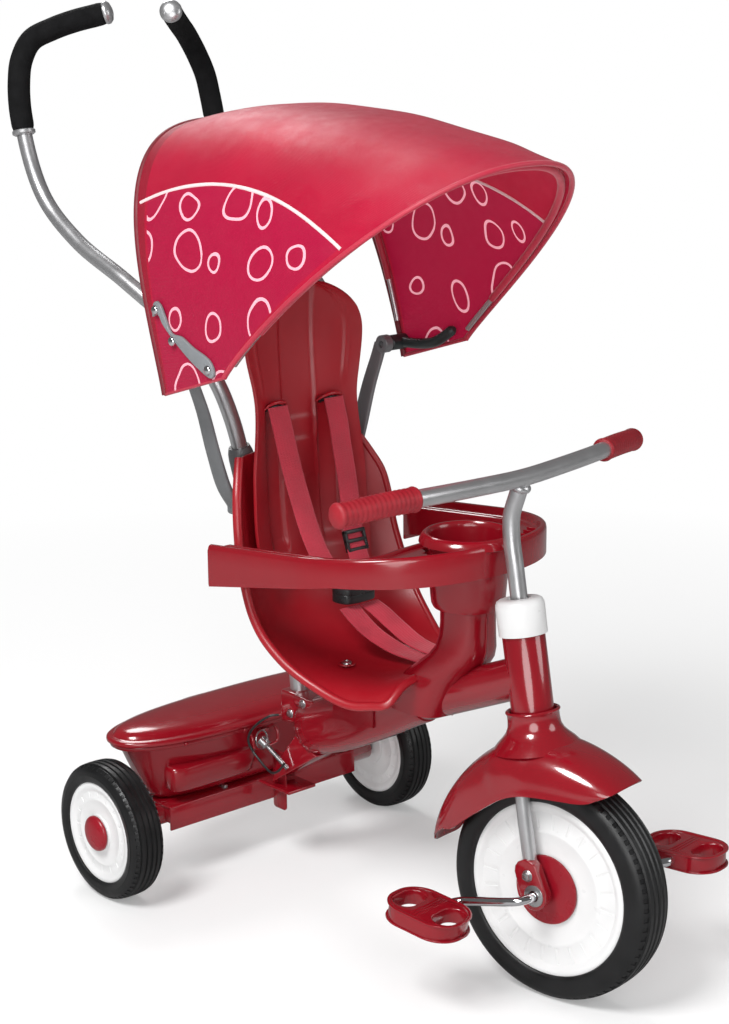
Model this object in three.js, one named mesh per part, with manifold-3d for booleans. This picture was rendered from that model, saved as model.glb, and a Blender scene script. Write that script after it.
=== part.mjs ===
// Children's tricycle with push handle, canopy and rear bucket.
// Millimetres. +X is forward, +Y is the rider's left, +Z is up.
// The model is laid out from the middle of the rear axle line, on the ground,
// and at the end it is moved so that its origin is the centre of its footprint.

import * as THREE from 'three';
import { mergeVertices } from 'three/addons/utils/BufferGeometryUtils.js';
import Module from 'manifold-3d';

const wasm = await Module();
wasm.setup();

// ---- driving dimensions -------------------------------------------------

const rad = THREE.MathUtils.degToRad;
const gap = 0.4;                    // clearance between touching pieces

const rearRadius = 85;              // rear tyre
const rearTyreWidth = 46;
const rearTyreMid = 219.5;          // half of the rear track
const rearDiscRadius = 63;
const rearCapRadius = 22;

const frontRadius = 127;            // front tyre
const frontTyreWidth = 56;
const frontDiscRadius = 98;
const frontHubRadius = 39;
const wheelbase = 539;

const rake = rad(10.5);             // head tube leans back
const hubLead = 7.5;                // hub in front of the steering axis
const steerAngle = rad(9.7);        // bars stand a little to the left
const crankThrow = 86;
const crankAngle = rad(3);
const pedalMid = 125;               // pedal centre from the wheel plane
const pedalLength = 94;
const pedalWidth = 68;
const pedalThick = 20;

const tubeRadius = 23.5;            // boom tube and head tube
const headLow = 178;                // along the steering axis, from the pivot
const headHigh = 277;
const capHigh = 317;
const steererRadius = 9.5;
const barRadius = 9.5;
const gripRadius = 13;

const postRadius = 11;              // silver post behind the seat
const handleRadius = 9.5;
const foamRadius = 13.5;

const pivotX = 97;                  // canopy pivot
const pivotZ = 651;
const canopyHalf = 183;
const clothThick = 2.4;

const bucketTop = 184;
const bucketBottom = 102;
const lidHalfLength = 203;
const lidHalfDepth = 61;
const lidX = -16;

// ---- materials ------------------------------------------------------------

function paint(color, roughness, metalness = 0) {
  return () => new THREE.MeshStandardMaterial({ color, roughness, metalness });
}

const enamelRed = paint(0xb0141f, 0.22);
const plasticRed = paint(0xa81520, 0.45);
const whitePlastic = paint(0xf2f2ef, 0.4);
const blackRubber = paint(0x1b1b1b, 0.7);
const blackFoam = paint(0x161616, 0.9);
const blackPlastic = paint(0x202224, 0.45);
const greyPlastic = paint(0x7d8284, 0.5);
const silverSteel = paint(0xc9cccd, 0.3, 1);
const chrome = paint(0xe4e6e7, 0.08, 1);
const crimsonCloth = paint(0xc81840, 0.8);
const redWebbing = paint(0xa81a28, 0.85);

// ---- helpers ----------------------------------------------------------------

const v3 = (x, y, z) => new THREE.Vector3(x, y, z);

function solid(geometry) {
  const bare = geometry.clone();
  for (const name of Object.keys(bare.attributes)) {
    if (name !== 'position') bare.deleteAttribute(name);
  }
  const welded = mergeVertices(bare, 1e-3);
  const body = new wasm.Manifold(new wasm.Mesh({
    numProp: 3,
    vertProperties: Float32Array.from(welded.attributes.position.array),
    triVerts: Uint32Array.from(welded.index.array),
  }));
  if (body.volume() > 0) return body;
  const turned = Uint32Array.from(welded.index.array).reverse();
  return new wasm.Manifold(new wasm.Mesh({
    numProp: 3,
    vertProperties: Float32Array.from(welded.attributes.position.array),
    triVerts: turned,
  }));
}

function geometryOf(body) {
  const { vertProperties, triVerts } = body.getMesh();
  const geometry = new THREE.BufferGeometry();
  geometry.setAttribute('position', new THREE.Float32BufferAttribute(vertProperties, 3));
  geometry.setIndex(Array.from(triVerts));
  return geometry;
}

function piece(group, name, body, material) {
  const mesh = new THREE.Mesh(geometryOf(body), material());
  mesh.name = name;
  group.add(mesh);
  return mesh;
}

// A box given by its lowest and highest corners.
function block(low, high) {
  const size = high.map((h, i) => h - low[i]);
  const box = new THREE.BoxGeometry(...size);
  box.translate(...low.map((l, i) => l + size[i] / 2));
  return solid(box);
}

// A round bar between two points.
function bar(from, to, radius, sides = 20, endRadius = radius) {
  const along = to.clone().sub(from);
  const geometry = new THREE.CylinderGeometry(endRadius, radius, along.length(), sides);
  geometry.translate(0, along.length() / 2, 0);
  const turn = new THREE.Quaternion().setFromUnitVectors(v3(0, 1, 0), along.normalize());
  geometry.applyQuaternion(turn);
  geometry.translate(from.x, from.y, from.z);
  return solid(geometry);
}

// A round tube along a smooth curve through points.
function bentBar(points, radius, sides, steps) {
  const section = new THREE.Shape();
  section.absarc(0, 0, radius, 0, Math.PI * 2);
  return solid(new THREE.ExtrudeGeometry(section, {
    steps,
    curveSegments: sides,
    bevelEnabled: false,
    extrudePath: new THREE.CatmullRomCurve3(points, false, 'centripetal'),
  }));
}

// A turned piece about the Y axis: profile is [radius, y] pairs.
function turned(profile, segments) {
  const points = profile.map(([r, y]) => new THREE.Vector2(r, y));
  return solid(new THREE.LatheGeometry(points, segments));
}

// A flat plate: outline in X and Z, thickness along Y from y0 to y1.
function plateXZ(shape, y0, y1, curveSegments = 8) {
  const geometry = new THREE.ExtrudeGeometry(shape, {
    depth: y1 - y0, bevelEnabled: false, curveSegments,
  });
  geometry.rotateX(Math.PI / 2);
  geometry.translate(0, y1, 0);
  return solid(geometry);
}

// A plate with its outline in X and Y, from z0 to z1.
function plateXY(shape, z0, z1, curveSegments = 8) {
  const geometry = new THREE.ExtrudeGeometry(shape, {
    depth: z1 - z0, bevelEnabled: false, curveSegments,
  });
  geometry.translate(0, 0, z0);
  return solid(geometry);
}

function outline(points) {
  return new THREE.Shape(points.map(([a, b]) => new THREE.Vector2(a, b)));
}

// A rounded oblong, half sizes a and b, with corner radius r.
function oblong(cx, cy, a, b, r, hole = false) {
  const shape = hole ? new THREE.Path() : new THREE.Shape();
  shape.moveTo(cx - a + r, cy - b);
  shape.lineTo(cx + a - r, cy - b);
  shape.absarc(cx + a - r, cy - b + r, r, -Math.PI / 2, 0);
  shape.lineTo(cx + a, cy + b - r);
  shape.absarc(cx + a - r, cy + b - r, r, 0, Math.PI / 2);
  shape.lineTo(cx - a + r, cy + b);
  shape.absarc(cx - a + r, cy + b - r, r, Math.PI / 2, Math.PI);
  shape.lineTo(cx - a, cy - b + r);
  shape.absarc(cx - a + r, cy - b + r, r, Math.PI, Math.PI * 1.5);
  return shape;
}

// A closed wall of even thickness on a surface: at(u, v) gives a point for
// u from -1 to 1 and v from 0 to 1.
function wall(at, across, along, thick) {
  const grid = [];
  for (let j = 0; j <= along; j++) {
    for (let i = 0; i <= across; i++) grid.push(at(-1 + 2 * i / across, j / along));
  }
  const row = across + 1;
  const total = grid.length;
  const surface = new THREE.BufferGeometry().setFromPoints(grid);
  const faces = [];
  for (let j = 0; j < along; j++) {
    for (let i = 0; i < across; i++) {
      const a = j * row + i;
      faces.push(a, a + 1, a + row + 1, a, a + row + 1, a + row);
    }
  }
  surface.setIndex(faces);
  surface.computeVertexNormals();
  const normal = surface.attributes.normal;
  const push = (k, d) => v3(normal.getX(k), normal.getY(k), normal.getZ(k))
    .multiplyScalar(d).add(grid[k]);
  const points = grid.map((p, k) => push(k, thick / 2))
    .concat(grid.map((p, k) => push(k, -thick / 2)));
  const index = faces.slice();
  for (let k = 0; k < faces.length; k += 3) {
    index.push(faces[k] + total, faces[k + 2] + total, faces[k + 1] + total);
  }
  const rim = [];
  for (let i = 0; i < across; i++) rim.push(i);
  for (let j = 0; j < along; j++) rim.push(j * row + across);
  for (let i = across; i > 0; i--) rim.push(along * row + i);
  for (let j = along; j > 0; j--) rim.push(j * row);
  rim.forEach((a, k) => {
    const b = rim[(k + 1) % rim.length];
    index.push(a, a + total, b + total, a, b + total, b);
  });
  const shell = new THREE.BufferGeometry().setFromPoints(points);
  shell.setIndex(index);
  return solid(shell);
}

// A closed solid through rings of points, all with the same count.
function loft(rings) {
  const count = rings[0].length;
  const points = rings.flat();
  const index = [];
  for (let r = 0; r + 1 < rings.length; r++) {
    for (let k = 0; k < count; k++) {
      const a = r * count + k;
      const b = r * count + (k + 1) % count;
      index.push(a, b, b + count, a, b + count, a + count);
    }
  }
  for (let k = 1; k + 1 < count; k++) {
    index.push(0, k + 1, k);
    const last = (rings.length - 1) * count;
    index.push(last, last + k, last + k + 1);
  }
  const geometry = new THREE.BufferGeometry().setFromPoints(points);
  geometry.setIndex(index);
  return solid(geometry);
}

const spline = (points) => new THREE.CatmullRomCurve3(points, false, 'centripetal');
const both = [['left', 1], ['right', -1]];

// ---- groups -----------------------------------------------------------------

const trike = new THREE.Group();
const rakeGroup = new THREE.Group();
const steerGroup = new THREE.Group();
const pivotHeight = frontRadius - hubLead * Math.sin(rake) * Math.cos(steerAngle);
rakeGroup.position.set(wheelbase - hubLead, 0, pivotHeight);
rakeGroup.rotation.y = -rake;
steerGroup.rotation.z = steerAngle;
rakeGroup.add(steerGroup);
trike.add(rakeGroup);

// ---- frame ------------------------------------------------------------------

const boomRear = v3(112, 0, 190);
const boomFront = v3(472, 0, 346);
const boomAt = (t) => boomRear.clone().lerp(boomFront, t);

// Head tube, in the raked frame, with a bore for the steerer.
const headBore = steererRadius + 1;
const headTube = bar(v3(0, 0, headLow), v3(0, 0, headHigh), tubeRadius, 24)
  .subtract(bar(v3(0, 0, headLow - 1), v3(0, 0, headHigh + 1), headBore, 16));
piece(rakeGroup, 'head_tube', headTube, enamelRed);

// White bearing cap on top of the head tube.
const capProfile = [
  [headBore, headHigh + gap], [26.5, headHigh + gap], [26.5, capHigh - 9],
  [24.5, capHigh - 3], [20, capHigh], [headBore, capHigh], [headBore, headHigh + gap],
];
const headCap = solid(new THREE.LatheGeometry(
  capProfile.map(([r, y]) => new THREE.Vector2(r, y)), 20).rotateX(Math.PI / 2));
piece(rakeGroup, 'head_cap', headCap, whitePlastic);

// Boom tube from the head tube into the stamped rear shell.
const headCut = bar(v3(0, 0, headLow - 20), v3(0, 0, headHigh + 20), tubeRadius + 0.6, 24)
  .rotate([0, -rake * 180 / Math.PI, 0])
  .translate([wheelbase - hubLead, 0, pivotHeight]);
const boomTube = bar(boomAt(0.6), boomFront, tubeRadius, 24).subtract(headCut);
piece(trike, 'boom_tube', boomTube, enamelRed);

// Rear shell: it grows from a round section at the front to a deep one at the back.
function boomRing(t, halfWidth, halfHeight, power) {
  const middle = boomAt(t);
  const up = v3(-Math.sin(boomTilt), 0, Math.cos(boomTilt));
  const ring = [];
  for (let k = 0; k < 20; k++) {
    const angle = k / 20 * Math.PI * 2;
    const c = Math.sign(Math.cos(angle)) * Math.abs(Math.cos(angle)) ** (2 / power);
    const s = Math.sign(Math.sin(angle)) * Math.abs(Math.sin(angle)) ** (2 / power);
    ring.push(middle.clone().addScaledVector(up, halfHeight * s).add(v3(0, halfWidth * c, 0)));
  }
  return ring;
}
const boomTilt = Math.atan2(boomFront.z - boomRear.z, boomFront.x - boomRear.x);
const boomShell = loft([
  boomRing(0, 22, 26, 2.4), boomRing(0.04, 27, 34, 2.6), boomRing(0.2, 29, 37, 3),
  boomRing(0.42, 28, 32, 2.8), boomRing(0.596, 25.5, 25.5, 2),
]);
const lockTab = block([52, -9, 72], [78, -6, 150]);
const tabFoot = block([40, -22, 104], [100, 22, 108]);
const tabWeb = plateXZ(outline([[60, 107], [150, 168], [110, 185], [70, 140]]), -20, 20);
const boomBody = boomShell.add(tabWeb).add(tabFoot).add(lockTab);
const boomRoom = loft([
  boomRing(-0.01, 23, 27, 2.4), boomRing(0.04, 27.8, 34.8, 2.6), boomRing(0.2, 29.8, 37.8, 3),
  boomRing(0.42, 28.8, 32.8, 2.8), boomRing(0.596, 26.3, 26.3, 2), boomRing(1, 26.3, 26.3, 2),
]);

// Clamp bracket at the back of the boom, which holds the silver post.
const postLow = v3(100, 0, 206);
const postHigh = v3(74, 0, 520);
const postHole = bar(postLow, postHigh, postRadius + gap, 20);
const clampBody = block([83, -20, 196], [122, 20, 240]).add(block([112, -24, 226], [150, 24, 240]))
  .subtract(boomRoom).subtract(postHole);
const clampParts = clampBody.decompose().sort((a, b) => b.volume() - a.volume());
piece(trike, 'boom_shell', boomBody.subtract(postHole), enamelRed);
piece(trike, 'post_clamp', clampParts[0], enamelRed);
piece(trike, 'handle_post', bar(postLow, postHigh, postRadius, 20), silverSteel);

// Rear axle: a pressed channel welded round a tube, and the rod inside it.
const rodRadius = 5;
const channel = block([-27, -150, 70], [27, 150, 101])
  .subtract(block([-24.5, -151, 69], [24.5, 151, 98.5]));
const axleTube = turned([
  [rodRadius + gap, -192], [13.8, -192], [13.8, 192], [rodRadius + gap, 192],
  [rodRadius + gap, -192],
], 24).translate([0, 0, rearRadius]);
const axleBeam = channel.add(axleTube)
  .add(block([-25, -148, 84], [-10, -144, 99])).add(block([10, 144, 84], [25, 148, 99]));
piece(trike, 'rear_axle_beam', axleBeam, enamelRed);
piece(trike, 'rear_axle_rod',
  turned([[0, -246], [rodRadius, -246], [rodRadius, 246], [0, 246]], 16)
    .translate([0, 0, rearRadius]), silverSteel);

// ---- wheels -----------------------------------------------------------------

function tyreProfile(radius, half, bead) {
  return [
    [bead, -half + 2], [radius - 13, -half], [radius - 5, -half + 4], [radius, -half / 2.4],
    [radius, half / 2.4], [radius - 5, half - 4], [radius - 13, half],
    [bead, half - 2], [bead, -half + 2],
  ];
}

// A dished disc wheel with a hub barrel and a bore.
function discProfile(rim, half, hub, bore) {
  return [
    [bore, -half - 1], [hub, -half - 1], [hub + 3, -half + 2], [rim - 10, -half + 2],
    [rim, -half], [rim, half], [rim - 10, half - 2], [hub + 3, half - 2],
    [hub, half + 1], [bore, half + 1], [bore, -half - 1],
  ];
}

for (const [side, s] of both) {
  const wheel = new THREE.Group();
  wheel.position.set(0, s * rearTyreMid, rearRadius);
  trike.add(wheel);
  const half = rearTyreWidth / 2;
  piece(wheel, `rear_tyre_${side}`,
    turned(tyreProfile(rearRadius, half, rearDiscRadius), 28), blackRubber);
  piece(wheel, `rear_wheel_${side}`,
    turned(discProfile(rearDiscRadius - gap, half - 4, 20, rodRadius + gap), 22), whitePlastic);
  const cap = turned([
    [0, half + 7], [rearCapRadius - 6, half + 6.5], [rearCapRadius, half + 2.5],
    [rearCapRadius, half - 1.5], [rodRadius + 3, half - 1.5],
    [rodRadius + 3, half + 4.5], [0, half + 4.5],
  ], 16);
  piece(wheel, `rear_hub_cap_${side}`, s > 0 ? cap : cap.mirror([0, 1, 0]), plasticRed);
}

const hubGroup = new THREE.Group();
hubGroup.position.set(hubLead, 0, 0);
steerGroup.add(hubGroup);
const frontHalf = frontTyreWidth / 2;
const axleRadius = 6;
piece(hubGroup, 'front_tyre',
  turned(tyreProfile(frontRadius, frontHalf, frontDiscRadius), 36), blackRubber);
piece(hubGroup, 'front_wheel',
  turned(discProfile(frontDiscRadius - gap, frontHalf - 3, 30, axleRadius + gap), 24),
  whitePlastic);
for (const [side, s] of both) {
  const y = frontHalf - 3 + 1 + gap;
  const cover = turned([
    [axleRadius + gap, y], [34, y], [34, y - 2.8], [frontHubRadius, y - 2.8],
    [frontHubRadius - 1, y], [axleRadius + gap, y + 2.2], [axleRadius + gap, y],
  ], 20);
  piece(hubGroup, `front_hub_cover_${side}`, s > 0 ? cover : cover.mirror([0, 1, 0]),
    plasticRed);
}

// One-piece chrome crank: pedal pin, arm, axle, arm, pedal pin.
function crankHalf(s) {
  const reach = v3(Math.cos(crankAngle), 0, Math.sin(crankAngle)).multiplyScalar(s);
  const at = (d, y) => reach.clone().multiplyScalar(d).setY(s * y);
  return [at(0, 48), at(3, 57), at(14, 63), at(crankThrow - 22, 76),
    at(crankThrow - 6, 81), at(crankThrow, 89), at(crankThrow, 110),
    at(crankThrow, pedalMid + 30)];
}
const crankLeft = crankHalf(1);
const crankRight = crankHalf(-1);
const crankPoints = [...crankRight.reverse(), v3(0, -20, 0), v3(0, 20, 0), ...crankLeft];
piece(hubGroup, 'crank_axle', bentBar(crankPoints, axleRadius - 1, 4, 34), chrome);

for (const [side, s] of both) {
  const pedal = new THREE.Group();
  pedal.position.set(s * crankThrow * Math.cos(crankAngle), s * pedalMid,
    s * crankThrow * Math.sin(crankAngle));
  pedal.rotation.y = side === 'left' ? rad(-4) : rad(6);
  hubGroup.add(pedal);
  const body = plateXY(
    oblong(0, 0, pedalLength / 2, pedalWidth / 2, 30), -pedalThick / 2, pedalThick / 2, 3)
    .subtract(plateXY(oblong(26, 0, 13, 21, 12), -pedalThick, pedalThick, 2))
    .subtract(plateXY(oblong(-26, 0, 13, 21, 12), -pedalThick, pedalThick, 2))
    .subtract(bar(v3(0, -pedalWidth, 0), v3(0, pedalWidth, 0), axleRadius + gap, 8));
  piece(pedal, `pedal_${side}`, body, plasticRed);
}

// ---- fork, handlebar and fender -----------------------------------------------

const legY = 38;
const legRadius = 8;
const crownZ = 143;
const steerer = bar(v3(0, 0, crownZ), v3(0, 0, capHigh + 3), steererRadius, 16)
  .add(bar(v3(0, -legY, crownZ), v3(0, legY, crownZ), legRadius, 14));
piece(steerGroup, 'fork_crown', steerer, silverSteel);
for (const [side, s] of both) {
  const leg = bar(v3(0, s * legY, 6), v3(0, s * legY, crownZ - legRadius - gap), legRadius, 16)
    .subtract(block([-12, s > 0 ? legY - 2.6 : -60, 0], [12, s > 0 ? 60 : -legY + 2.6, 42]));
  piece(steerGroup, `fork_leg_${side}`, leg, silverSteel);
  const cover = outline([[-15, 26], [-13, 33], [-7, 38], [0, 40], [7, 38], [13, 33],
    [15, 26], [22, 2], [20, -9], [13, -15], [5, -17], [-3, -15], [-9, -8]]);
  const y0 = s > 0 ? legY - 2.6 + gap : -legY - 4.4;
  const bracket = plateXZ(cover, y0, y0 + 7 - gap)
    .subtract(bar(v3(hubLead, -60, 0), v3(hubLead, 60, 0), axleRadius + gap, 16));
  piece(steerGroup, `axle_bracket_${side}`, bracket, plasticRed);
}

// Stem leaves the cap along the steering axis, then bends forward to the bar.
const barZ = 447;
const barX = 24;
const stem = bentBar([v3(0, 0, capHigh + 3 + gap), v3(0, 0, 345), v3(0, 0, 384),
  v3(4, 0, 408), v3(15, 0, 430), v3(barX, 0, barZ)], barRadius, 5, 7);
const handlebar = bentBar([v3(-6, -262, barZ + 5), v3(6, -215, barZ + 6),
  v3(16, -165, barZ + 5), v3(22, -80, barZ + 2), v3(barX, 0, barZ), v3(22, 80, barZ + 2),
  v3(16, 165, barZ + 5), v3(6, 215, barZ + 6), v3(-6, 262, barZ + 5)], barRadius, 5, 12);
piece(steerGroup, 'handlebar', stem.add(handlebar), silverSteel);
for (const [side, s] of both) {
  const path = [v3(14, s * 172, barZ + 5.2), v3(6, s * 215, barZ + 6),
    v3(-6, s * 262, barZ + 5), v3(-8.5, s * 272, barZ + 4.8)];
  const grip = bentBar(path, gripRadius, 6, 4)
    .subtract(bentBar([v3(22, s * 80, barZ + 2), v3(16, s * 165, barZ + 5),
      v3(6, s * 215, barZ + 6), v3(-6, s * 262, barZ + 5), v3(-6.5, s * 264, barZ + 5)],
    barRadius + 2, 5, 7));
  piece(steerGroup, `bar_grip_${side}`, grip, plasticRed);
}

// Fender: an arch over the tyre with deep sides, and a collar round the head tube foot.
const fenderFront = rad(50);
const fenderRear = rad(171);
function fenderPoint(u, v) {
  const angle = fenderFront + (fenderRear - fenderFront) * v;
  const swell = Math.sin(Math.PI * Math.min(1, Math.max(0, v * 0.94 + 0.05)));
  const half = 20 + 33 * swell ** 0.45;
  const drop = 10 + 46 * swell ** 0.7;
  const crown = 158 + 8 * Math.exp(-(((v - 0.42) / 0.2) ** 2));
  const bend = Math.abs(u);
  const radius = crown - drop * bend ** 2.6;
  const y = half * Math.sin(Math.min(1, bend) * Math.PI / 2) * Math.sign(u);
  return v3(hubLead + radius * Math.cos(angle), y, radius * Math.sin(angle));
}
const collarFoot = 150;
const collarHole = tubeRadius + 2;
const fenderCone = solid(new THREE.LatheGeometry([
  [collarHole, collarFoot], [50, collarFoot], [44, 160], [32, 170], [29, 176], [28.8, 192],
  [collarHole, 192], [collarHole, collarFoot],
].map(([r, y]) => new THREE.Vector2(r, y)), 20).rotateX(Math.PI / 2));
const fenderFloor = bar(v3(0, 0, 166), v3(0, 0, 169), collarHole + 1, 20);
const fender = wall(fenderPoint, 10, 12, 3)
  .add(fenderCone).add(fenderFloor)
  .subtract(bar(v3(0, 0, 169), v3(0, 0, 200), collarHole, 20))
  .subtract(bar(v3(0, 0, 100), v3(0, 0, 200), steererRadius + 1, 12))
  .subtract(bar(v3(0, -legY - 2, crownZ), v3(0, legY + 2, crownZ), legRadius + 1.5, 10));
const fenderParts = fender.decompose().sort((a, b) => b.volume() - a.volume());
piece(steerGroup, 'front_fender', fenderParts[0], enamelRed);

// ---- seat ---------------------------------------------------------------------

// Middle line of the lower shell, from its top edge down and forward to its lip,
// and its rolled rim beside it.
const shellMid = spline([v3(94, 0, 548), v3(98, 0, 470), v3(112, 0, 400), v3(140, 0, 345),
  v3(185, 0, 319), v3(240, 0, 310), v3(300, 0, 312), v3(345, 0, 324)]);
const shellRim = spline([v3(106, 92, 545), v3(126, 112, 500), v3(140, 119, 430),
  v3(170, 122, 364), v3(208, 116, 328), v3(250, 104, 305), v3(300, 92, 292),
  v3(343, 76, 300)]);
function shellPoint(u, v) {
  const middle = shellMid.getPoint(v);
  const rim = shellRim.getPoint(v);
  const side = Math.abs(u);
  const lift = side ** 3;
  return v3(middle.x + (rim.x - middle.x) * lift, rim.y * side ** 0.9 * Math.sign(u),
    middle.z + (rim.z - middle.z) * lift);
}
piece(trike, 'seat_shell', wall(shellPoint, 10, 11, 4), plasticRed);

const backMid = spline([v3(126, 0, 395), v3(112, 0, 450), v3(107, 0, 520), v3(104, 0, 600),
  v3(100, 0, 680), v3(102, 0, 741)]);
const backHalf = spline([v3(0, 78, 0), v3(0, 86, 0), v3(0, 84, 0), v3(0, 76, 0),
  v3(0, 88, 0), v3(0, 30, 0)]);
function backPoint(u, v) {
  const middle = backMid.getPoint(v);
  const half = v > 0.86
    ? backHalf.getPoint(0.86).y * Math.sqrt(Math.max(0.02, 1 - ((v - 0.86) / 0.145) ** 2))
    : backHalf.getPoint(v).y;
  const side = Math.abs(u);
  return v3(middle.x + 20 * side ** 2.4 * Math.min(1, half / 80), half * u, middle.z);
}
piece(trike, 'seat_back', wall(backPoint, 8, 11, 4), plasticRed);

const seatMount = block([196, -52, 0], [268, 52, 298.5])
  .subtract(block([180, -60, -10], [280, 60, 240]))
  .subtract(plateXZ(outline([[180, 0], [280, 0], [280, 296.7], [180, 296.7]]), -70, -30))
  .subtract(plateXZ(outline([[180, 0], [280, 0], [280, 296.7], [180, 296.7]]), 30, 70))
  .subtract(boomRoom)
  .subtract(wall(shellPoint, 10, 11, 5.2));
const mountParts = seatMount.decompose().sort((a, b) => b.volume() - a.volume());
piece(trike, 'seat_mount', mountParts[0], blackPlastic);

// Harness: flat webbing lying on the back and the pan.
function strap(points, width, lean) {
  const path = spline(points);
  return wall((u, v) => {
    const p = path.getPoint(v);
    return v3(p.x, p.y + u * width / 2, p.z + u * lean);
  }, 2, 6, 1.8);
}
for (const [side, s] of both) {
  piece(trike, `shoulder_strap_${side}`, strap([v3(121, s * 43, 601), v3(130, s * 42, 560),
    v3(148, s * 38, 500), v3(168, s * 30, 440), v3(196, s * 22, 398)], 24, 0), redWebbing);
}
const lapHalf = (s) => strap([v3(212, s * 20, 370), v3(240, s * 30, 346),
  v3(268, s * 37, 328), v3(300, s * 44, 321)], 24, 0);
const lapJoin = strap([v3(206, 0, 374), v3(214, 0, 369)], 50, 0);
piece(trike, 'lap_strap', lapHalf(1).add(lapHalf(-1)).add(lapJoin), redWebbing);
const buckleLow = [190, -26, 376];
const buckleHigh = [218, 26, 394];
const buttonHole = block([199, -8, 387.5], [209, 8, 396]);
const buckle = block(buckleLow, buckleHigh).subtract(buttonHole);
piece(trike, 'buckle', buckle, blackPlastic);
piece(trike, 'buckle_button', block([199.5, -7.5, 390.5], [208.5, 7.5, 396.5]), plasticRed);

// ---- tray and its column --------------------------------------------------------

const cupRadius = 44;
function trayOutline(inset, back, front) {
  const shape = new THREE.Shape();
  const half = 168 - inset;
  shape.moveTo(back, half);
  shape.lineTo(300, half - 4);
  shape.bezierCurveTo(385, half - 16, front, 96, front, 0);
  shape.bezierCurveTo(front, -96, 385, -(half - 16), 300, -(half - 4));
  shape.lineTo(back, -half);
  return shape;
}
const traySide = outline([[136, 411], [340, 450], [460, 458], [460, 494], [136, 461]]);
const trayFlat = outline([[136, 300], [460, 300], [460, 489.5], [136, 456.5]]);
const trayRing = plateXY(trayOutline(0, 140, 446), 380, 520, 6)
  .intersect(plateXZ(traySide, -200, 200))
  .subtract(plateXY(trayOutline(3.5, 143.5, 442.5), 380, 520, 6)
    .intersect(plateXZ(trayFlat, -200, 200)))
  .subtract(plateXY(trayOutline(34, 100, 338), 380, 520, 6));
const trayInner = plateXY(trayOutline(30.5, 140, 341.5), 380, 520, 6)
  .subtract(plateXY(trayOutline(34, 100, 338), 379, 521, 6))
  .intersect(plateXZ(traySide, -200, 200));
const cupHole = bar(v3(395, 0, 380), v3(395, 0, 520), cupRadius + 4, 20);
const tray = trayRing.add(trayInner).subtract(cupHole);
const trayParts = tray.decompose().sort((a, b) => b.volume() - a.volume());
piece(trike, 'tray', trayParts[0], plasticRed);

const cup = solid(new THREE.LatheGeometry([
  [0, 410], [40, 410], [46.5, 478], [46.5, 493], [52, 493], [51, 496.5], [45.5, 496.5],
  [40, 414], [0, 414],
].map(([r, y]) => new THREE.Vector2(r, y)), 24).rotateX(Math.PI / 2)).translate([395, 0, 0]);
piece(trike, 'cup_holder', cup, plasticRed);

// The column is two moulded halves that straddle the boom and meet in the middle.
function columnSection(z, halfX, halfY, shift) {
  const ring = [];
  for (let k = 0; k < 14; k++) {
    const a = k / 14 * Math.PI * 2;
    ring.push(v3(395 + shift + halfX * Math.sign(Math.cos(a)) * Math.abs(Math.cos(a)) ** 0.7,
      halfY * Math.sign(Math.sin(a)) * Math.abs(Math.sin(a)) ** 0.7, z));
  }
  return ring;
}
const columnBody = loft([
  columnSection(276, 48, 37, -72), columnSection(322, 42, 37, -42),
  columnSection(356, 34, 33, -8), columnSection(385, 29, 27, 0),
  columnSection(409.5, 29, 27, 0),
]);
const boomSlot = plateXZ(outline([[240, 150], [480, 240], [480, 379], [330, 321],
  [240, 288]]), -28.6, 28.6).add(plateXZ(outline([[240, 150], [480, 240], [480, 330],
  [240, 226]]), -60, 60));
const seatSpace = plateXZ(outline([[220, 302], [351, 302], [351, 350], [220, 420]]), -60, 60);
for (const [side, s] of both) {
  const slab = block([200, s > 0 ? 0.2 : -60, 250], [480, s > 0 ? 60 : -0.2, 409.5]);
  const half = columnBody.intersect(slab).subtract(boomSlot).subtract(seatSpace);
  const parts = half.decompose().sort((a, b) => b.volume() - a.volume());
  piece(trike, `column_${side}`, parts[0], plasticRed);
}

// ---- yoke, push handle ------------------------------------------------------------

const yokeClear = bar(postLow, postHigh, postRadius + gap, 24);
const socket = (s) => bar(v3(80, s * 56, 466), v3(79, s * 71, 552), 14, 14);
const yoke = block([64, -62, 452], [92, 62, 500]).add(socket(1)).add(socket(-1))
  .subtract(wall(shellPoint, 10, 11, 6)).subtract(wall(backPoint, 8, 11, 6))
  .subtract(yokeClear);
const tubePath = (s) => [v3(80, s * 59, 484), v3(80, s * 66, 530), v3(78, s * 80, 586),
  v3(68, s * 98, 638), v3(22, s * 118, 694), v3(-50, s * 134, 740), v3(-140, s * 142, 782),
  v3(-205, s * 145, 832), v3(-238, s * 147, 905), v3(-252, s * 142, 968),
  v3(-258, s * 122, 1012), v3(-232, s * 86, 1034), v3(-200, s * 54, 1046)];
const socketBore = (s) => bentBar([v3(80, s * 58.7, 482), ...tubePath(s).slice(1, 4)],
  handleRadius + 1.8, 5, 8);
const yokeParts = yoke.subtract(socketBore(1)).subtract(socketBore(-1))
  .decompose().sort((a, b) => b.volume() - a.volume());
piece(trike, 'yoke', yokeParts[0], greyPlastic);

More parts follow.
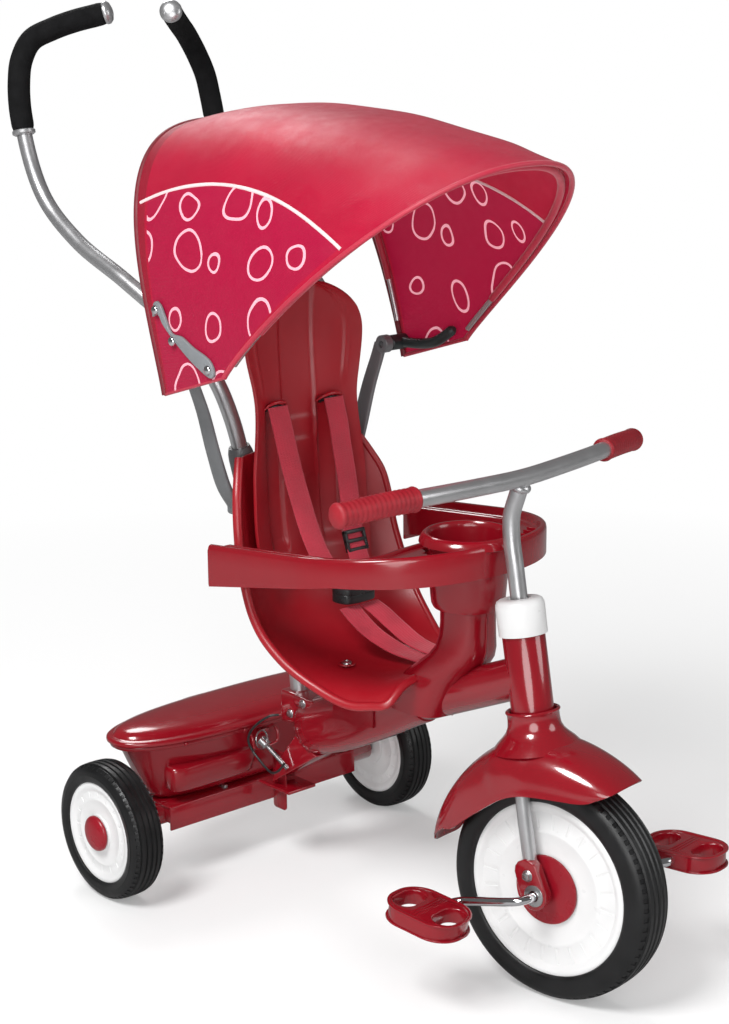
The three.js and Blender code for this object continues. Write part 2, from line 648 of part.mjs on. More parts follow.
const armPath = [[79, 478], [96, 504], [112, 548], [128, 602], [141, 636], [146, 651]];
for (const [side, s] of both) {
  const path = spline(armPath.map(([y, z]) => v3(82, s * y, z)));
  const arm = wall((u, v) => {
    const p = path.getPoint(v);
    const width = 15 - 5 * v;
    return v3(p.x + 6 * v + u * width, p.y, p.z);
  }, 2, 6, 7).add(bar(v3(pivotX - 5, s * 138, pivotZ), v3(pivotX - 5, s * 150, pivotZ), 11, 20));
  const trimmed = arm.subtract(bar(v3(pivotX, -200, pivotZ), v3(pivotX, 200, pivotZ), 4.5, 16))
    .subtract(wall(shellPoint, 10, 11, 6)).subtract(wall(backPoint, 8, 11, 6));
  const parts = trimmed.decompose().sort((a, b) => b.volume() - a.volume());
  piece(trike, `canopy_stay_${side}`, parts[0], greyPlastic);

  const tubePoints = tubePath(s);
  const tube = bentBar(tubePoints, handleRadius, 5, 26);
  piece(trike, `push_tube_${side}`, tube, silverSteel);
  const foamPoints = [...tubePoints.slice(8), v3(-196, s * 50, 1047.4)];
  const foam = bentBar(foamPoints, foamRadius, 6, 9)
    .subtract(bentBar([...tubePoints.slice(7), v3(-199, s * 53, 1046.3)],
      handleRadius + 2.2, 5, 14));
  const foamParts = foam.decompose().sort((a, b) => b.volume() - a.volume());
  piece(trike, `foam_grip_${side}`, foamParts[0], blackFoam);
}

// ---- canopy -------------------------------------------------------------------------

const ridge = spline([v3(-15, 0, 925), v3(89, 0, 944), v3(236, 0, 941), v3(400, 0, 918),
  v3(485, 0, 900)]);
const cornerRear = v3(90, canopyHalf, 630);
const cornerFront = v3(201, canopyHalf, 664);
function canopyPoint(u, v) {
  const foot = cornerRear.clone().lerp(cornerFront, v);
  const top = ridge.getPoint(v);
  const power = 3.3 - v;
  const angle = (1 - Math.abs(u)) * Math.PI / 2;
  const rise = Math.sin(angle) ** (2 / power);
  const out = Math.max(0, Math.cos(angle)) ** (2 / power);
  return v3(foot.x + (top.x - foot.x) * rise ** 1.1, canopyHalf * out * Math.sign(u),
    foot.z + (top.z - foot.z) * rise);
}
piece(trike, 'canopy_cloth', wall(canopyPoint, 18, 9, clothThick), crimsonCloth);

for (const [side, s] of both) {
  const y = (a) => s * a;
  const armIn = bentBar([v3(pivotX, y(170), pivotZ), v3(130, y(173), 652),
    v3(158, y(173), 658), v3(190, y(173), 677)], 6, 4, 5)
    .add(bar(v3(pivotX, y(151), pivotZ), v3(pivotX, y(178), pivotZ), 9.5, 20));
  piece(trike, `canopy_arm_${side}`, armIn, blackPlastic);
  const plate = outline([[77, 718], [88, 722], [96, 712], [128, 688], [184, 662],
    [188, 671], [180, 682], [130, 702], [112, 704], [92, 734], [82, 736]]);
  const y0 = s > 0 ? canopyHalf + 2 : -canopyHalf - 6;
  piece(trike, `canopy_plate_${side}`, plateXZ(plate, y0, y0 + 4), greyPlastic);
}
function bow(v, low, inset) {
  const points = [];
  for (let k = 0; k <= 16; k++) {
    const p = canopyPoint(-1 + low + (2 - 2 * low) * k / 16, v);
    points.push(v3(p.x, p.y * (1 - inset / canopyHalf), p.z - inset * (1 - Math.abs(p.y) / 190)));
  }
  return bentBar(points, 3, 3, 20);
}
piece(trike, 'canopy_bow_rear', bow(0.06, 0.28, 8), silverSteel);
piece(trike, 'canopy_bow_front', bow(0.95, 0.14, 8), silverSteel);

// ---- bucket and lid --------------------------------------------------------------------

const bucketOuter = loft([0, 0.12, 0.5, 0.86, 1].map((t) => {
  const z = bucketBottom + (bucketTop - bucketBottom) * t;
  const grow = t ** 0.8;
  return bucketRing(z, 147 + 42 * grow, 33 + 21 * grow, 2.6);
}));
function bucketRing(z, halfY, halfX, power) {
  const ring = [];
  for (let k = 0; k < 20; k++) {
    const a = k / 20 * Math.PI * 2;
    const c = Math.sign(Math.cos(a)) * Math.abs(Math.cos(a)) ** (2 / power);
    const s = Math.sign(Math.sin(a)) * Math.abs(Math.sin(a)) ** (2 / power);
    ring.push(v3(lidX + halfX * c, halfY * s, z));
  }
  return ring;
}
const bucketInner = loft([0, 0.5, 1].map((t) => {
  const z = bucketBottom + 3 + (bucketTop - bucketBottom) * t;
  const grow = t ** 0.8;
  return bucketRing(z, 144 + 42 * grow, 30 + 21 * grow, 2.6);
}));
const bucketRim = loft([bucketRing(bucketTop - 4, 199, 60, 2.4),
  bucketRing(bucketTop, 199, 60, 2.4)]);
const hump = plateXY(oblong(-98, -4, 28, 36, 26), 130, 176, 7)
  .subtract(plateXY(oblong(-98, -4, 25, 33, 24), 129, 173, 7));
const bucket = bucketOuter.add(bucketRim).add(hump.subtract(bucketOuter)).subtract(bucketInner)
  .subtract(bar(postLow, postHigh, postRadius + 2, 20))
  .subtract(boomBody.scale([1, 1.03, 1]));
const bucketParts = bucket.decompose().sort((a, b) => b.volume() - a.volume());
piece(trike, 'bucket', bucketParts[0], plasticRed);

const lidBase = bucketTop + gap;
const lidRing = (z, inset) => bucketRing(z, lidHalfLength - inset, lidHalfDepth + 2 - inset, 2.4);
const lid = loft([lidRing(lidBase, 0), lidRing(lidBase + 8, 0), lidRing(lidBase + 12, 4),
  lidRing(lidBase + 16, 16), lidRing(lidBase + 18, 34)])
  .subtract(loft([lidRing(lidBase - 1, 3), lidRing(lidBase + 8, 3), lidRing(lidBase + 12, 12),
    lidRing(lidBase + 15, 34)]));
piece(trike, 'bucket_lid', lid, plasticRed);

// ---- lock pin and its tethers --------------------------------------------------------------

const pin = bar(v3(100, -23, 140), v3(68, -34, 168), 3, 12)
  .add(bar(v3(72, -33, 164), v3(64, -36, 171), 7, 14));
piece(trike, 'lock_pin', pin, chrome);

const tetherPoints = [v3(86, -24, 207), v3(80, -32, 206), v3(68, -42, 196),
  v3(56, -47, 180), v3(52, -46, 168), v3(56, -44, 158), v3(66, -43, 150), v3(80, -43, 142),
  v3(94, -43, 138), v3(106, -42, 144), v3(112, -37, 154)];
piece(trike, 'tether', bentBar(tetherPoints, 1.5, 4, 24), blackRubber);

// ---- stand the model on its origin --------------------------------------------------------

const extent = new THREE.Box3().setFromObject(trike, true);
const middle = extent.getCenter(v3(0, 0, 0));
trike.position.set(-middle.x, -middle.y, -extent.min.z);

export default trike;
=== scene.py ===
# %% [markdown]
# # A push tricycle, one piece at a time
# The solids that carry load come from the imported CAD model, in metres.  Each
# visible piece is built around them here, with rounder tubes, moulded ribs,
# sewn cloth and patterned finishes.
#
# All lengths below are in millimetres, measured from the middle of the rear
# axle line on the ground, and one matrix at a time turns them into the frame.

# %% Load the frame
import math

import bmesh
import bpy
from mathutils import Matrix, Vector


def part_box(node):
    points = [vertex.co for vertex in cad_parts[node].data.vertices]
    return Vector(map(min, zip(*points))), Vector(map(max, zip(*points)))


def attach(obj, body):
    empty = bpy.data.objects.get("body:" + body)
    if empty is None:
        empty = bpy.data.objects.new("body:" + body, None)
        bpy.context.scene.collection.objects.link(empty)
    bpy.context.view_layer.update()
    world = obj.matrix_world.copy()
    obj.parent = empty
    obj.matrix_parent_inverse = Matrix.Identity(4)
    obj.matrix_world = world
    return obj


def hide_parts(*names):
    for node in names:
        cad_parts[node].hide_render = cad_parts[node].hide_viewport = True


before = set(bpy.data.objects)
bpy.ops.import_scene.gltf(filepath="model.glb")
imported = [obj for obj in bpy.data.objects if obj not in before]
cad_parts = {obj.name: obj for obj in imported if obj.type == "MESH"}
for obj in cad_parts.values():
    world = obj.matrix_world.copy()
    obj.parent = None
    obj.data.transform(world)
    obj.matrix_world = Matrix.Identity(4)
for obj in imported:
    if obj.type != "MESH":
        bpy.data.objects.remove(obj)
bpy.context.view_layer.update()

# %% [markdown]
# ## Where things stand
# The rear tyres say where the axle line is.  The head tube leans back, the
# bars are turned a little to the left, and the front hub sits just ahead of the
# steering line, so four nested matrices carry every piece to its place.

# %% Matrices for the frame, the head tube, the steering and the front hub
MM = 0.001
left_low, left_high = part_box("rear_tyre_left")
right_low, right_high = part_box("rear_tyre_right")
axle_middle = (left_low + left_high + right_low + right_high) / 4
ground_point = Vector((axle_middle.x, axle_middle.y, left_low.z))
RAKE = math.radians(10.5)
TURN = math.radians(9.7)
HUB_LEAD = 7.5
PIVOT = Vector((531.5, 0, 127 - HUB_LEAD * math.sin(RAKE) * math.cos(TURN)))
layout = Matrix.Translation(ground_point) @ Matrix.Diagonal((MM, MM, MM, 1))
raked = layout @ Matrix.Translation(PIVOT) @ Matrix.Rotation(-RAKE, 4, "Y")
steered = raked @ Matrix.Rotation(TURN, 4, "Z")
front_hub = steered @ Matrix.Translation((HUB_LEAD, 0, 0))
SIDES = (("left", 1), ("right", -1))
print("ground point", [round(c, 4) for c in ground_point])

# %% [markdown]
# ## Camera
# The camera looks from ahead of the rider's right knee, a little above the
# tray.  Its lens is long, so the tricycle is hardly distorted.

# %% Camera
CAMERA_PLACE = Vector((1989.6, -1546.6, 1081.5))
AZIMUTH, ELEVATION, ROLL = (math.radians(a) for a in (49.0, 14.4, -0.5))
back = Vector((math.sin(AZIMUTH) * math.cos(ELEVATION),
               -math.cos(AZIMUTH) * math.cos(ELEVATION), math.sin(ELEVATION)))
right = Vector((math.cos(AZIMUTH), math.sin(AZIMUTH), 0))
upward = back.cross(right)
across = right * math.cos(ROLL) + upward * math.sin(ROLL)
upward = upward * math.cos(ROLL) - right * math.sin(ROLL)
camera_data = bpy.data.cameras.new("camera")
camera = bpy.data.objects.new("camera", camera_data)
bpy.context.scene.collection.objects.link(camera)
turned_back = Matrix((across, upward, back)).transposed().to_4x4()
camera.matrix_world = Matrix.Translation(layout @ CAMERA_PLACE) @ turned_back
camera_data.sensor_fit = "VERTICAL"
camera_data.sensor_height = 36
camera_data.lens = 73.45
camera_data.shift_x = 0.0063
camera_data.shift_y = 0.0062
camera_data.dof.use_dof = False
bpy.context.scene.camera = camera
print("camera at", [round(c, 3) for c in camera.location])

# %% [markdown]
# ## Smooth lines
# Bent tubes, straps and the cloth's ridge follow a smooth line through a few
# points.  A Catmull-Rom line passes through every point it is given, so the
# points can be read straight off a drawing.

# %% Smooth lines through points


def curve_at(points, share):
    """The point at share (0 to 1) of a smooth line through points."""
    spans = len(points) - 1
    place = min(max(share, 0.0), 1.0) * spans
    k = min(int(place), spans - 1)
    t = place - k
    b, c = points[k], points[k + 1]
    a = points[k - 1] if k else b * 2 - c
    d = points[k + 2] if k + 2 <= spans else c * 2 - b
    steps = [max((q - p).length, 1e-6) ** 0.5 for p, q in ((a, b), (b, c), (c, d))]
    s0, s1, s2 = steps
    m1 = ((b - a) / s0 - (c - a) / (s0 + s1) + (c - b) / s1) * s1
    m2 = ((c - b) / s1 - (d - b) / (s1 + s2) + (d - c) / s2) * s1
    return (b + m1 * t + (c * 3 - b * 3 - m1 * 2 - m2) * t * t
            + (b * 2 - c * 2 + m1 + m2) * t ** 3)


def spline(points, count):
    """count points, evenly spread, on a smooth line through points."""
    points = [Vector(p) for p in points]
    fine = [curve_at(points, k / 400) for k in range(401)]
    run = [0.0]
    for p, q in zip(fine, fine[1:]):
        run.append(run[-1] + (q - p).length)
    found, k = [], 0
    for step in range(count):
        goal = run[-1] * step / (count - 1)
        while k < 399 and run[k + 1] < goal:
            k += 1
        share = (goal - run[k]) / max(run[k + 1] - run[k], 1e-9)
        found.append(fine[k].lerp(fine[k + 1], min(1, share)))
    return found


def length_of(path):
    """The length of a line of points."""
    return sum((q - p).length for p, q in zip(path, path[1:]))


# %% [markdown]
# ## Shapes that repeat
# Most of the tricycle is one of five shapes: a turned one, a swept bar, a
# lofted body, a cut plate or a bent skin.  Each helper starts from a bmesh
# circle, grid or a few vertices and lets an operator make the faces.

# %% Helpers that make and join shapes


def loft(rings, capped=True):
    """Extrudes a circle of edges from ring to ring of points."""
    bm = bmesh.new()
    bmesh.ops.create_circle(bm, cap_ends=False, segments=len(rings[0]), radius=1)
    ring = list(bm.verts)
    for row, points in enumerate(rings):
        if row:
            edges = [bm.edges.get(pair) for pair in zip(ring, ring[1:] + ring[:1])]
            made = bmesh.ops.extrude_edge_only(bm, edges=edges)["geom"]
            fresh = {g for g in made if isinstance(g, bmesh.types.BMVert)}
            ring = [next(e.other_vert(v) for e in v.link_edges
                         if e.other_vert(v) in fresh) for v in ring]
        for vert, point in zip(ring, points):
            vert.co = point
        if capped and row in (0, len(rings) - 1):
            bm.faces.new(ring)
    return bm


def tube(path, radius, sides=24, flat=1.0, capped=True, side=None):
    """A bar swept along a path; radius may be one number or one for each point."""
    path = [Vector(p) for p in path]
    last = len(path) - 1
    side = Vector(side) if side else (path[1] - path[0]).orthogonal()
    rings = []
    for k, point in enumerate(path):
        ahead = (path[min(k + 1, last)] - path[max(k - 1, 0)]).normalized()
        side = (side - ahead * side.dot(ahead)).normalized()
        upright = ahead.cross(side)
        size = radius[k] if isinstance(radius, (list, tuple)) else radius
        rings.append([point + side * size * math.cos(math.tau * i / sides)
                      + upright * size * flat * math.sin(math.tau * i / sides)
                      for i in range(sides)])
    return loft(rings, capped)


def turned(profile, segments=64, axis="Y"):
    """Spins (radius, along) pairs once round an axis."""
    bm = bmesh.new()
    verts = [bm.verts.new((r, y, 0)) for r, y in profile]
    edges = [bm.edges.new(pair) for pair in zip(verts, verts[1:])]
    bmesh.ops.spin(bm, geom=verts + edges, cent=(0, 0, 0), axis=(0, 1, 0), dvec=(0, 0, 0),
                   angle=math.tau, steps=segments, use_merge=True, use_duplicate=False)
    bmesh.ops.remove_doubles(bm, verts=bm.verts, dist=1e-4)
    if axis == "Z":
        bmesh.ops.transform(bm, matrix=Matrix.Rotation(math.pi / 2, 4, "X"),
                            verts=bm.verts)
    elif axis == "X":
        bmesh.ops.transform(bm, matrix=Matrix.Rotation(-math.pi / 2, 4, "Z"),
                            verts=bm.verts)
    return bm


def plate(outline, low, high, along="Y", holes=()):
    """A flat plate cut to an outline, with holes, from low to high."""
    def place(a, b):
        return (a, low, b) if along == "Y" else (a, b, low)
    bm = bmesh.new()
    edges = []
    for loop in (outline, *holes):
        verts = [bm.verts.new(place(*p)) for p in loop]
        edges += [bm.edges.new(pair) for pair in zip(verts, verts[1:] + verts[:1])]
    if holes:
        bmesh.ops.triangle_fill(bm, use_beauty=True, use_dissolve=False, edges=edges)
    else:
        bm.faces.new(bm.verts)
    made = bmesh.ops.extrude_face_region(bm, geom=bm.faces[:])["geom"]
    thick = high - low
    bmesh.ops.translate(
        bm, vec=(0, thick, 0) if along == "Y" else (0, 0, thick),
        verts=[g for g in made if isinstance(g, bmesh.types.BMVert)])
    return bm


def skin(surface, across, along, thick=0.0):
    """A grid bent to surface(u, v), u from -1 to 1, v from 0 to 1, then thickened."""
    bm = bmesh.new()
    bmesh.ops.create_grid(bm, x_segments=across, y_segments=along, size=1,
                          calc_uvs=True)
    layer = bm.loops.layers.uv.verify()
    for face in bm.faces:
        for loop in face.loops:
            loop[layer].uv = (loop.vert.co.x / 2 + 0.5, loop.vert.co.y / 2 + 0.5)
    for vert in bm.verts:
        vert.co = surface(vert.co.x, (vert.co.y + 1) / 2)
    bmesh.ops.recalc_face_normals(bm, faces=bm.faces)
    if thick:
        bmesh.ops.solidify(bm, geom=bm.faces[:], thickness=thick)
    return bm


def box(low, high):
    """A block between two corners."""
    bm = bmesh.new()
    bmesh.ops.create_cube(bm, size=1)
    low, high = Vector(low), Vector(high)
    bmesh.ops.scale(bm, vec=high - low, verts=bm.verts)
    bmesh.ops.translate(bm, vec=(low + high) / 2, verts=bm.verts)
    return bm


def moved(bm, *steps):
    """Applies matrices, the last one first."""
    matrix = Matrix.Identity(4)
    for step in steps:
        matrix = matrix @ step
    bmesh.ops.transform(bm, matrix=matrix, verts=bm.verts)
    if matrix.determinant() < 0:
        bmesh.ops.reverse_faces(bm, faces=bm.faces)
    return bm


def shift(x, y, z):
    return Matrix.Translation((x, y, z))


def flipped(s):
    """Mirrors left to right when s is -1."""
    return Matrix.Scale(s, 4, (0, 1, 0))


def squarish(k, count, x_power, y_power=None):
    """Cosine and sine of step k of count, both pushed out towards a square."""
    c, s = math.cos(math.tau * k / count), math.sin(math.tau * k / count)
    return (math.copysign(abs(c) ** x_power, c),
            math.copysign(abs(s) ** (y_power or x_power), s))


def face_place(face, segments):
    """A face's distance from the Y axis, its Y, and its step round the axis."""
    middle = face.calc_center_median()
    step = int((math.atan2(middle.z, middle.x) + math.pi) / math.tau * segments)
    return math.hypot(middle.x, middle.z), middle.y, step


def rounded(bm, width, segments=2, sharper=35):
    """Bevels every edge that is sharper than an angle."""
    limit = math.radians(sharper)
    bm.normal_update()
    edges = [e for e in bm.edges if len(e.link_faces) == 2
             and e.calc_face_angle(0) > limit]
    bmesh.ops.bevel(bm, geom=edges, offset=width, offset_type="OFFSET",
                    affect="EDGES", segments=segments, profile=0.5, material=-1,
                    clamp_overlap=True)
    return bm


def joined(*shapes):
    """Several shapes in one bmesh."""
    whole = bmesh.new()
    for shape in shapes:
        mesh = bpy.data.meshes.new("part")
        shape.to_mesh(mesh)
        shape.free()
        whole.from_mesh(mesh)
        bpy.data.meshes.remove(mesh)
    return whole


def raised(bm, faces, inset, height):
    """Insets single faces and pushes them out along their own normals."""
    bm.normal_update()
    bmesh.ops.inset_individual(bm, faces=faces, thickness=inset, depth=height,
                               use_even_offset=True)
    return bm


def finished(bm, name, finish, body, where=layout, stands_for=(),
             soft_angle=40):
    """Turns a bmesh into a named piece that rides on a body."""
    bmesh.ops.remove_doubles(bm, verts=bm.verts, dist=1e-4)
    bmesh.ops.recalc_face_normals(bm, faces=bm.faces)
    bmesh.ops.transform(bm, matrix=where, verts=bm.verts)
    mesh = bpy.data.meshes.new(name)
    bm.to_mesh(mesh)
    bm.free()
    mesh.shade_smooth()
    mesh.set_sharp_from_angle(angle=math.radians(soft_angle))
    mesh.materials.append(finish)
    piece = bpy.data.objects.new(name, mesh)
    bpy.context.scene.collection.objects.link(piece)
    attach(piece, body)
    if stands_for:
        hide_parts(*stands_for)
    print(name, len(mesh.polygons), "faces")
    return piece


# %% [markdown]
# ## Finishes
# Every finish is a Principled shader with three patterns on top: a slow change
# of colour, a finer change of roughness, and a bump for the grain.  Object
# coordinates keep the patterns in place on a piece at every pose.

# %% A finish with colour drift, roughness drift and grain


def node_of(tree, kind, *places, operation=None, **named):
    """A shader node, each of whose inputs is a value to set or a socket to link."""
    node = tree.nodes.new("ShaderNode" + kind)
    if operation:
        node.operation = operation
    for key, value in (*enumerate(places), *named.items()):
        socket = node.inputs[key if isinstance(key, int) else key.replace("_", " ")]
        if isinstance(value, bpy.types.NodeSocket):
            tree.links.new(value, socket)
        else:
            socket.default_value = value
    return node


def finish_of(name, colour, rough, drift=0.12, drift_scale=14, grain=0.06,
              grain_scale=900, grain_depth=0.0004, rough_spread=0.08, **sockets):
    """A material whose colour, roughness and bump vary as the real one's do."""
    material = bpy.data.materials.new(name)
    material.use_nodes = True
    tree = material.node_tree
    shader = tree.nodes["Principled BSDF"]
    for socket, value in sockets.items():
        shader.inputs[socket.replace("_", " ")].default_value = value
    place = node_of(tree, "TexCoord").outputs["Object"]

    def noise(scale, detail):
        return node_of(tree, "TexNoise", Vector=place, Scale=scale,
                       Detail=detail).outputs["Fac"]

    ramp = node_of(tree, "ValToRGB", Fac=noise(drift_scale, 3))
    shades = ((0.32, 1 - drift), (0.68, 1 + drift))
    for stop, (position, gain) in zip(ramp.color_ramp.elements, shades):
        stop.position = position
        stop.color = (*(min(1, c * gain) for c in colour), 1)
    spread = node_of(tree, "MapRange", Value=noise(60, 4), From_Min=0.3, From_Max=0.7,
                     To_Min=max(0.02, rough - rough_spread), To_Max=rough + rough_spread)
    bump = node_of(tree, "Bump", Strength=grain, Distance=grain_depth,
                   Height=noise(grain_scale, 2))
    for socket, source in (("Base Color", ramp.outputs["Color"]),
                           ("Roughness", spread.outputs["Result"]),
                           ("Normal", bump.outputs["Normal"])):
        tree.links.new(source, shader.inputs[socket])
    return material


# %% The finishes of the steel, the mouldings and the rubber
ENAMEL = (0.22, 0.003, 0.009)
enamel_red = finish_of("enamel_red", ENAMEL, 0.2, 0.06, 9, 0.12, 260, 0.0003, 0.03,
                       Coat_Weight=1.0, Coat_Roughness=0.05)
seat_plastic = finish_of("seat_plastic", (0.31, 0.004, 0.011), 0.38, 0.07, 8, 0.25, 1500,
                         0.0002, 0.05, Coat_Weight=0.25, Coat_Roughness=0.25)
tray_plastic = finish_of("tray_plastic", ENAMEL, 0.2, 0.06, 9, 0.1, 500, 0.0002, 0.04,
                         Coat_Weight=0.6, Coat_Roughness=0.08)
hub_plastic = finish_of("hub_plastic", (0.24, 0.004, 0.012), 0.3, 0.08, 20, 0.15, 900)
white_plastic = finish_of("white_plastic", (0.66, 0.66, 0.66), 0.32, 0.03, 20, 0.1, 900,
                          0.0002, 0.05)
tyre_rubber = finish_of("tyre_rubber", (0.006, 0.006, 0.0065), 0.38, 0.3, 30, 0.4, 1400,
                        0.0003, 0.1)
silver_paint = finish_of("silver_paint", (0.56, 0.56, 0.57), 0.34, 0.05, 40, 0.02, 180,
                         0.0002, 0.05, Metallic=0.85)
bright_chrome = finish_of("bright_chrome", (0.78, 0.78, 0.8), 0.09, 0.04, 60, 0.04, 1200,
                          0.0002, 0.04, Metallic=1.0)
dark_foam = finish_of("dark_foam", (0.004, 0.004, 0.0045), 0.85, 0.4, 120, 0.9, 1700,
                      0.0006, 0.1, Specular_IOR_Level=0.2)
grip_rubber = finish_of("grip_rubber", (0.27, 0.005, 0.013), 0.5, 0.1, 40, 0.4, 1600)
grey_plastic = finish_of("grey_plastic", (0.19, 0.2, 0.21), 0.42, 0.08, 20, 0.3, 1200)
stay_plastic = finish_of("stay_plastic", (0.13, 0.135, 0.14), 0.36, 0.08, 20, 0.3, 1200)
dark_plastic = finish_of("dark_plastic", (0.018, 0.026, 0.026), 0.35, 0.2, 30, 0.3, 1200)
black_plastic = finish_of("black_plastic", (0.013, 0.013, 0.014), 0.32, 0.2, 30, 0.3,
                          1200)
zinc_steel = finish_of("zinc_steel", (0.56, 0.56, 0.57), 0.28, 0.08, 80, 0.15, 1500,
                       0.0002, 0.08, Metallic=1.0)
print(len(bpy.data.materials), "plain finishes")

# %% [markdown]
# ## Woven cloth
# The canopy and the straps are woven.  Two crossed wave patterns on the piece's
# own UV map give threads that follow the cloth, and sheen gives the soft edge
# light that fabric has.

# %% Cloth and webbing


def woven(name, colour, rough, threads, depth, drift_scale=10, **sockets):
    """A woven finish: threads is the number of threads along U and along V."""
    material = finish_of(name, colour, rough, 0.1, drift_scale, 0.3, 700, 0.0004,
                         **sockets)
    tree = material.node_tree
    grain = next(n for n in tree.nodes if n.type == "BUMP").outputs["Normal"]
    uv = node_of(tree, "UVMap").outputs["UV"]
    heights = []
    for way, count in zip("XY", threads):
        wave = node_of(tree, "TexWave", Vector=uv, Scale=count / math.pi / 2,
                       Distortion=0.25)
        wave.bands_direction = way
        heights.append(wave.outputs["Fac"])
    weave = node_of(tree, "Math", *heights, operation="MAXIMUM")
    bump = node_of(tree, "Bump", Strength=0.5, Distance=depth, Height=weave.outputs[0],
                   Normal=grain)
    tree.links.new(bump.outputs["Normal"], tree.nodes["Principled BSDF"].inputs["Normal"])
    return material


webbing_red = woven("webbing_red", (0.43, 0.022, 0.045), 0.7, (14, 150), 0.0006, 30,
                    Sheen_Weight=0.4, Sheen_Roughness=0.4)

# %% [markdown]
# ## Tethers of the lock pin
# A thin cord keeps the lock pin from being lost.  It starts beside the bracket,
# loops down past the pin and goes back under the boom.  Its ends hang free.

# %% Tether cord and lock pin
TETHER = [(86, -24, 207), (80, -32, 206), (68, -42, 196), (56, -47, 180), (52, -46, 168),
          (56, -44, 158), (66, -43, 150), (80, -43, 142), (94, -43, 138),
          (106, -42, 144), (112, -37, 154)]
tether_line = spline(TETHER, 64)
tether = finished(tube(tether_line, 1.5, 12), "tether_cord", black_plastic, "frame",
                  stands_for=["tether"])
tether_path = [layout @ p for p in tether_line]
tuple(tether_path[0])
length_of(tether_path)
pin_line = [Vector((100, -23, 140)), Vector((68, -34, 168))]
pin_ring = [Vector((66 + 11 * math.cos(a), -36 + 3 * math.sin(a), 172 + 11 * math.sin(a)))
            for a in (math.tau * k / 24 for k in range(25))]
lock_pin = finished(joined(
    tube(pin_line, 3, 16),
    tube([Vector((72, -33, 164)), Vector((64, -36, 171))], 7, 20),
    tube(pin_ring, 1.1, 8)), "lock_pin_steel", zinc_steel, "frame",
    stands_for=["lock_pin"])
print("tether is", round(length_of(tether_path), 3), "m long")

# %% [markdown]
# ## Tyres
# Solid rubber tyres have a few grooves round the tread and blocks on the
# shoulders.  The grooves come with the turned profile.  The blocks are faces of
# the shoulder bands, inset and pushed out.

# %% Tyres
REAR_Y, REAR_RADIUS, REAR_HALF = 219.5, 85, 23
FRONT_RADIUS, FRONT_HALF = 127, 28


def tyre_profile(radius, half, bead):
    """(radius, along) pairs of half a tyre, mirrored into a closed ring."""
    half_side = [
        (radius - 1.8, 0.0), (radius - 1.8, half * 0.05), (radius, half * 0.09),
        (radius, half * 0.24), (radius - 1.8, half * 0.28), (radius - 1.8, half * 0.34),
        (radius - 0.2, half * 0.38), (radius - 0.6, half * 0.55),
        (radius - 2.8, half * 0.6), (radius - 2.9, half * 0.65),
        (radius - 1.6, half * 0.69), (radius - 4.6, half * 0.85),
        (radius - 9, half * 0.95), (radius - 14, half * 0.985), (bead + 9, half),
        (bead + 4, half * 0.97), (bead + 1, half * 0.93), (bead, half * 0.88),
        (bead, half * 0.4)]
    mirrored = [(r, -y) for r, y in half_side[:0:-1]]
    return mirrored + half_side + [mirrored[0]]


def shoulder_blocks(bm, radius, half, segments):
    """Raises every other face of both shoulder bands."""
    chosen = []
    for face in bm.faces:
        reach, y, step = face_place(face, segments)
        if half * 0.7 < abs(y) < half * 0.84 and reach > radius - 6 and step % 2:
            chosen.append(face)
    return raised(bm, chosen, 0.35, 0.9)


for side, s in SIDES:
    where = layout @ shift(0, s * REAR_Y, REAR_RADIUS)
    rear_tyre = turned(tyre_profile(REAR_RADIUS, REAR_HALF, 62.8), 120)
    finished(shoulder_blocks(rear_tyre, REAR_RADIUS, REAR_HALF, 120), f"rear_tyre_rubber_{side}",
             tyre_rubber, f"rear_wheel_{side}", where,
             [f"rear_tyre_{side}"])
front_tyre = turned(tyre_profile(FRONT_RADIUS, FRONT_HALF, 97.8), 144)
finished(shoulder_blocks(front_tyre, FRONT_RADIUS, FRONT_HALF, 144), "front_tyre_rubber", tyre_rubber,
         "front_wheel", front_hub, ["front_tyre"])

# %% [markdown]
# ## Wheels
# The white discs are blow-moulded: a raised rim, a dished face with shallow
# radial ribs, and a boss that the red cap snaps onto.

# %% White wheel discs


def disc(rim, half, hub, bore, segments, rib_every):
    """A moulded disc wheel with a rim, a ring step and radial ribs on both faces."""
    outer = [(bore, half + 1), (hub, half + 1), (hub + 2, half + 0.4), (hub + 3, half - 2),
             (hub + 5, half - 2.6), (rim * 0.62, half - 2.6), (rim * 0.64, half - 1.8),
             (rim * 0.67, half - 1.8), (rim * 0.69, half - 2.6), (rim - 12, half - 2.6),
             (rim - 10, half - 2.2), (rim - 7.5, half + 0.2), (rim - 2, half + 0.6),
             (rim, half - 0.6)]
    profile = [(r, -y) for r, y in outer] + outer[::-1]
    bm = turned(profile + [profile[0]], segments)
    chosen = []
    for face in bm.faces:
        reach, _, step = face_place(face, segments)
        if rim * 0.69 < reach < rim - 12 and step % rib_every == 0:
            chosen.append(face)
    return raised(bm, chosen, 0.3, 0.5)


for side, s in SIDES:
    where = layout @ shift(0, s * REAR_Y, REAR_RADIUS)
    finished(disc(62.6, 19, 20, 5.6, 96, 6), f"rear_disc_{side}", white_plastic,
             f"rear_wheel_{side}", where, [f"rear_wheel_{side}"])
    dome = [(0, 30), (6, 29.8), (13, 28.6), (18.5, 26.6), (21.3, 24.6), (22, 22.8),
            (22, 21.4), (8.2, 21.4), (8.2, 27.3), (0, 27.3)]
    finished(turned([(r, s * y) for r, y in dome], 64), f"rear_cap_{side}", hub_plastic,
             f"rear_wheel_{side}", where, [f"rear_hub_cap_{side}"])
finished(disc(97.6, 25, 30, 6.4, 144, 6), "front_disc", white_plastic, "front_wheel",
         front_hub, ["front_wheel"])

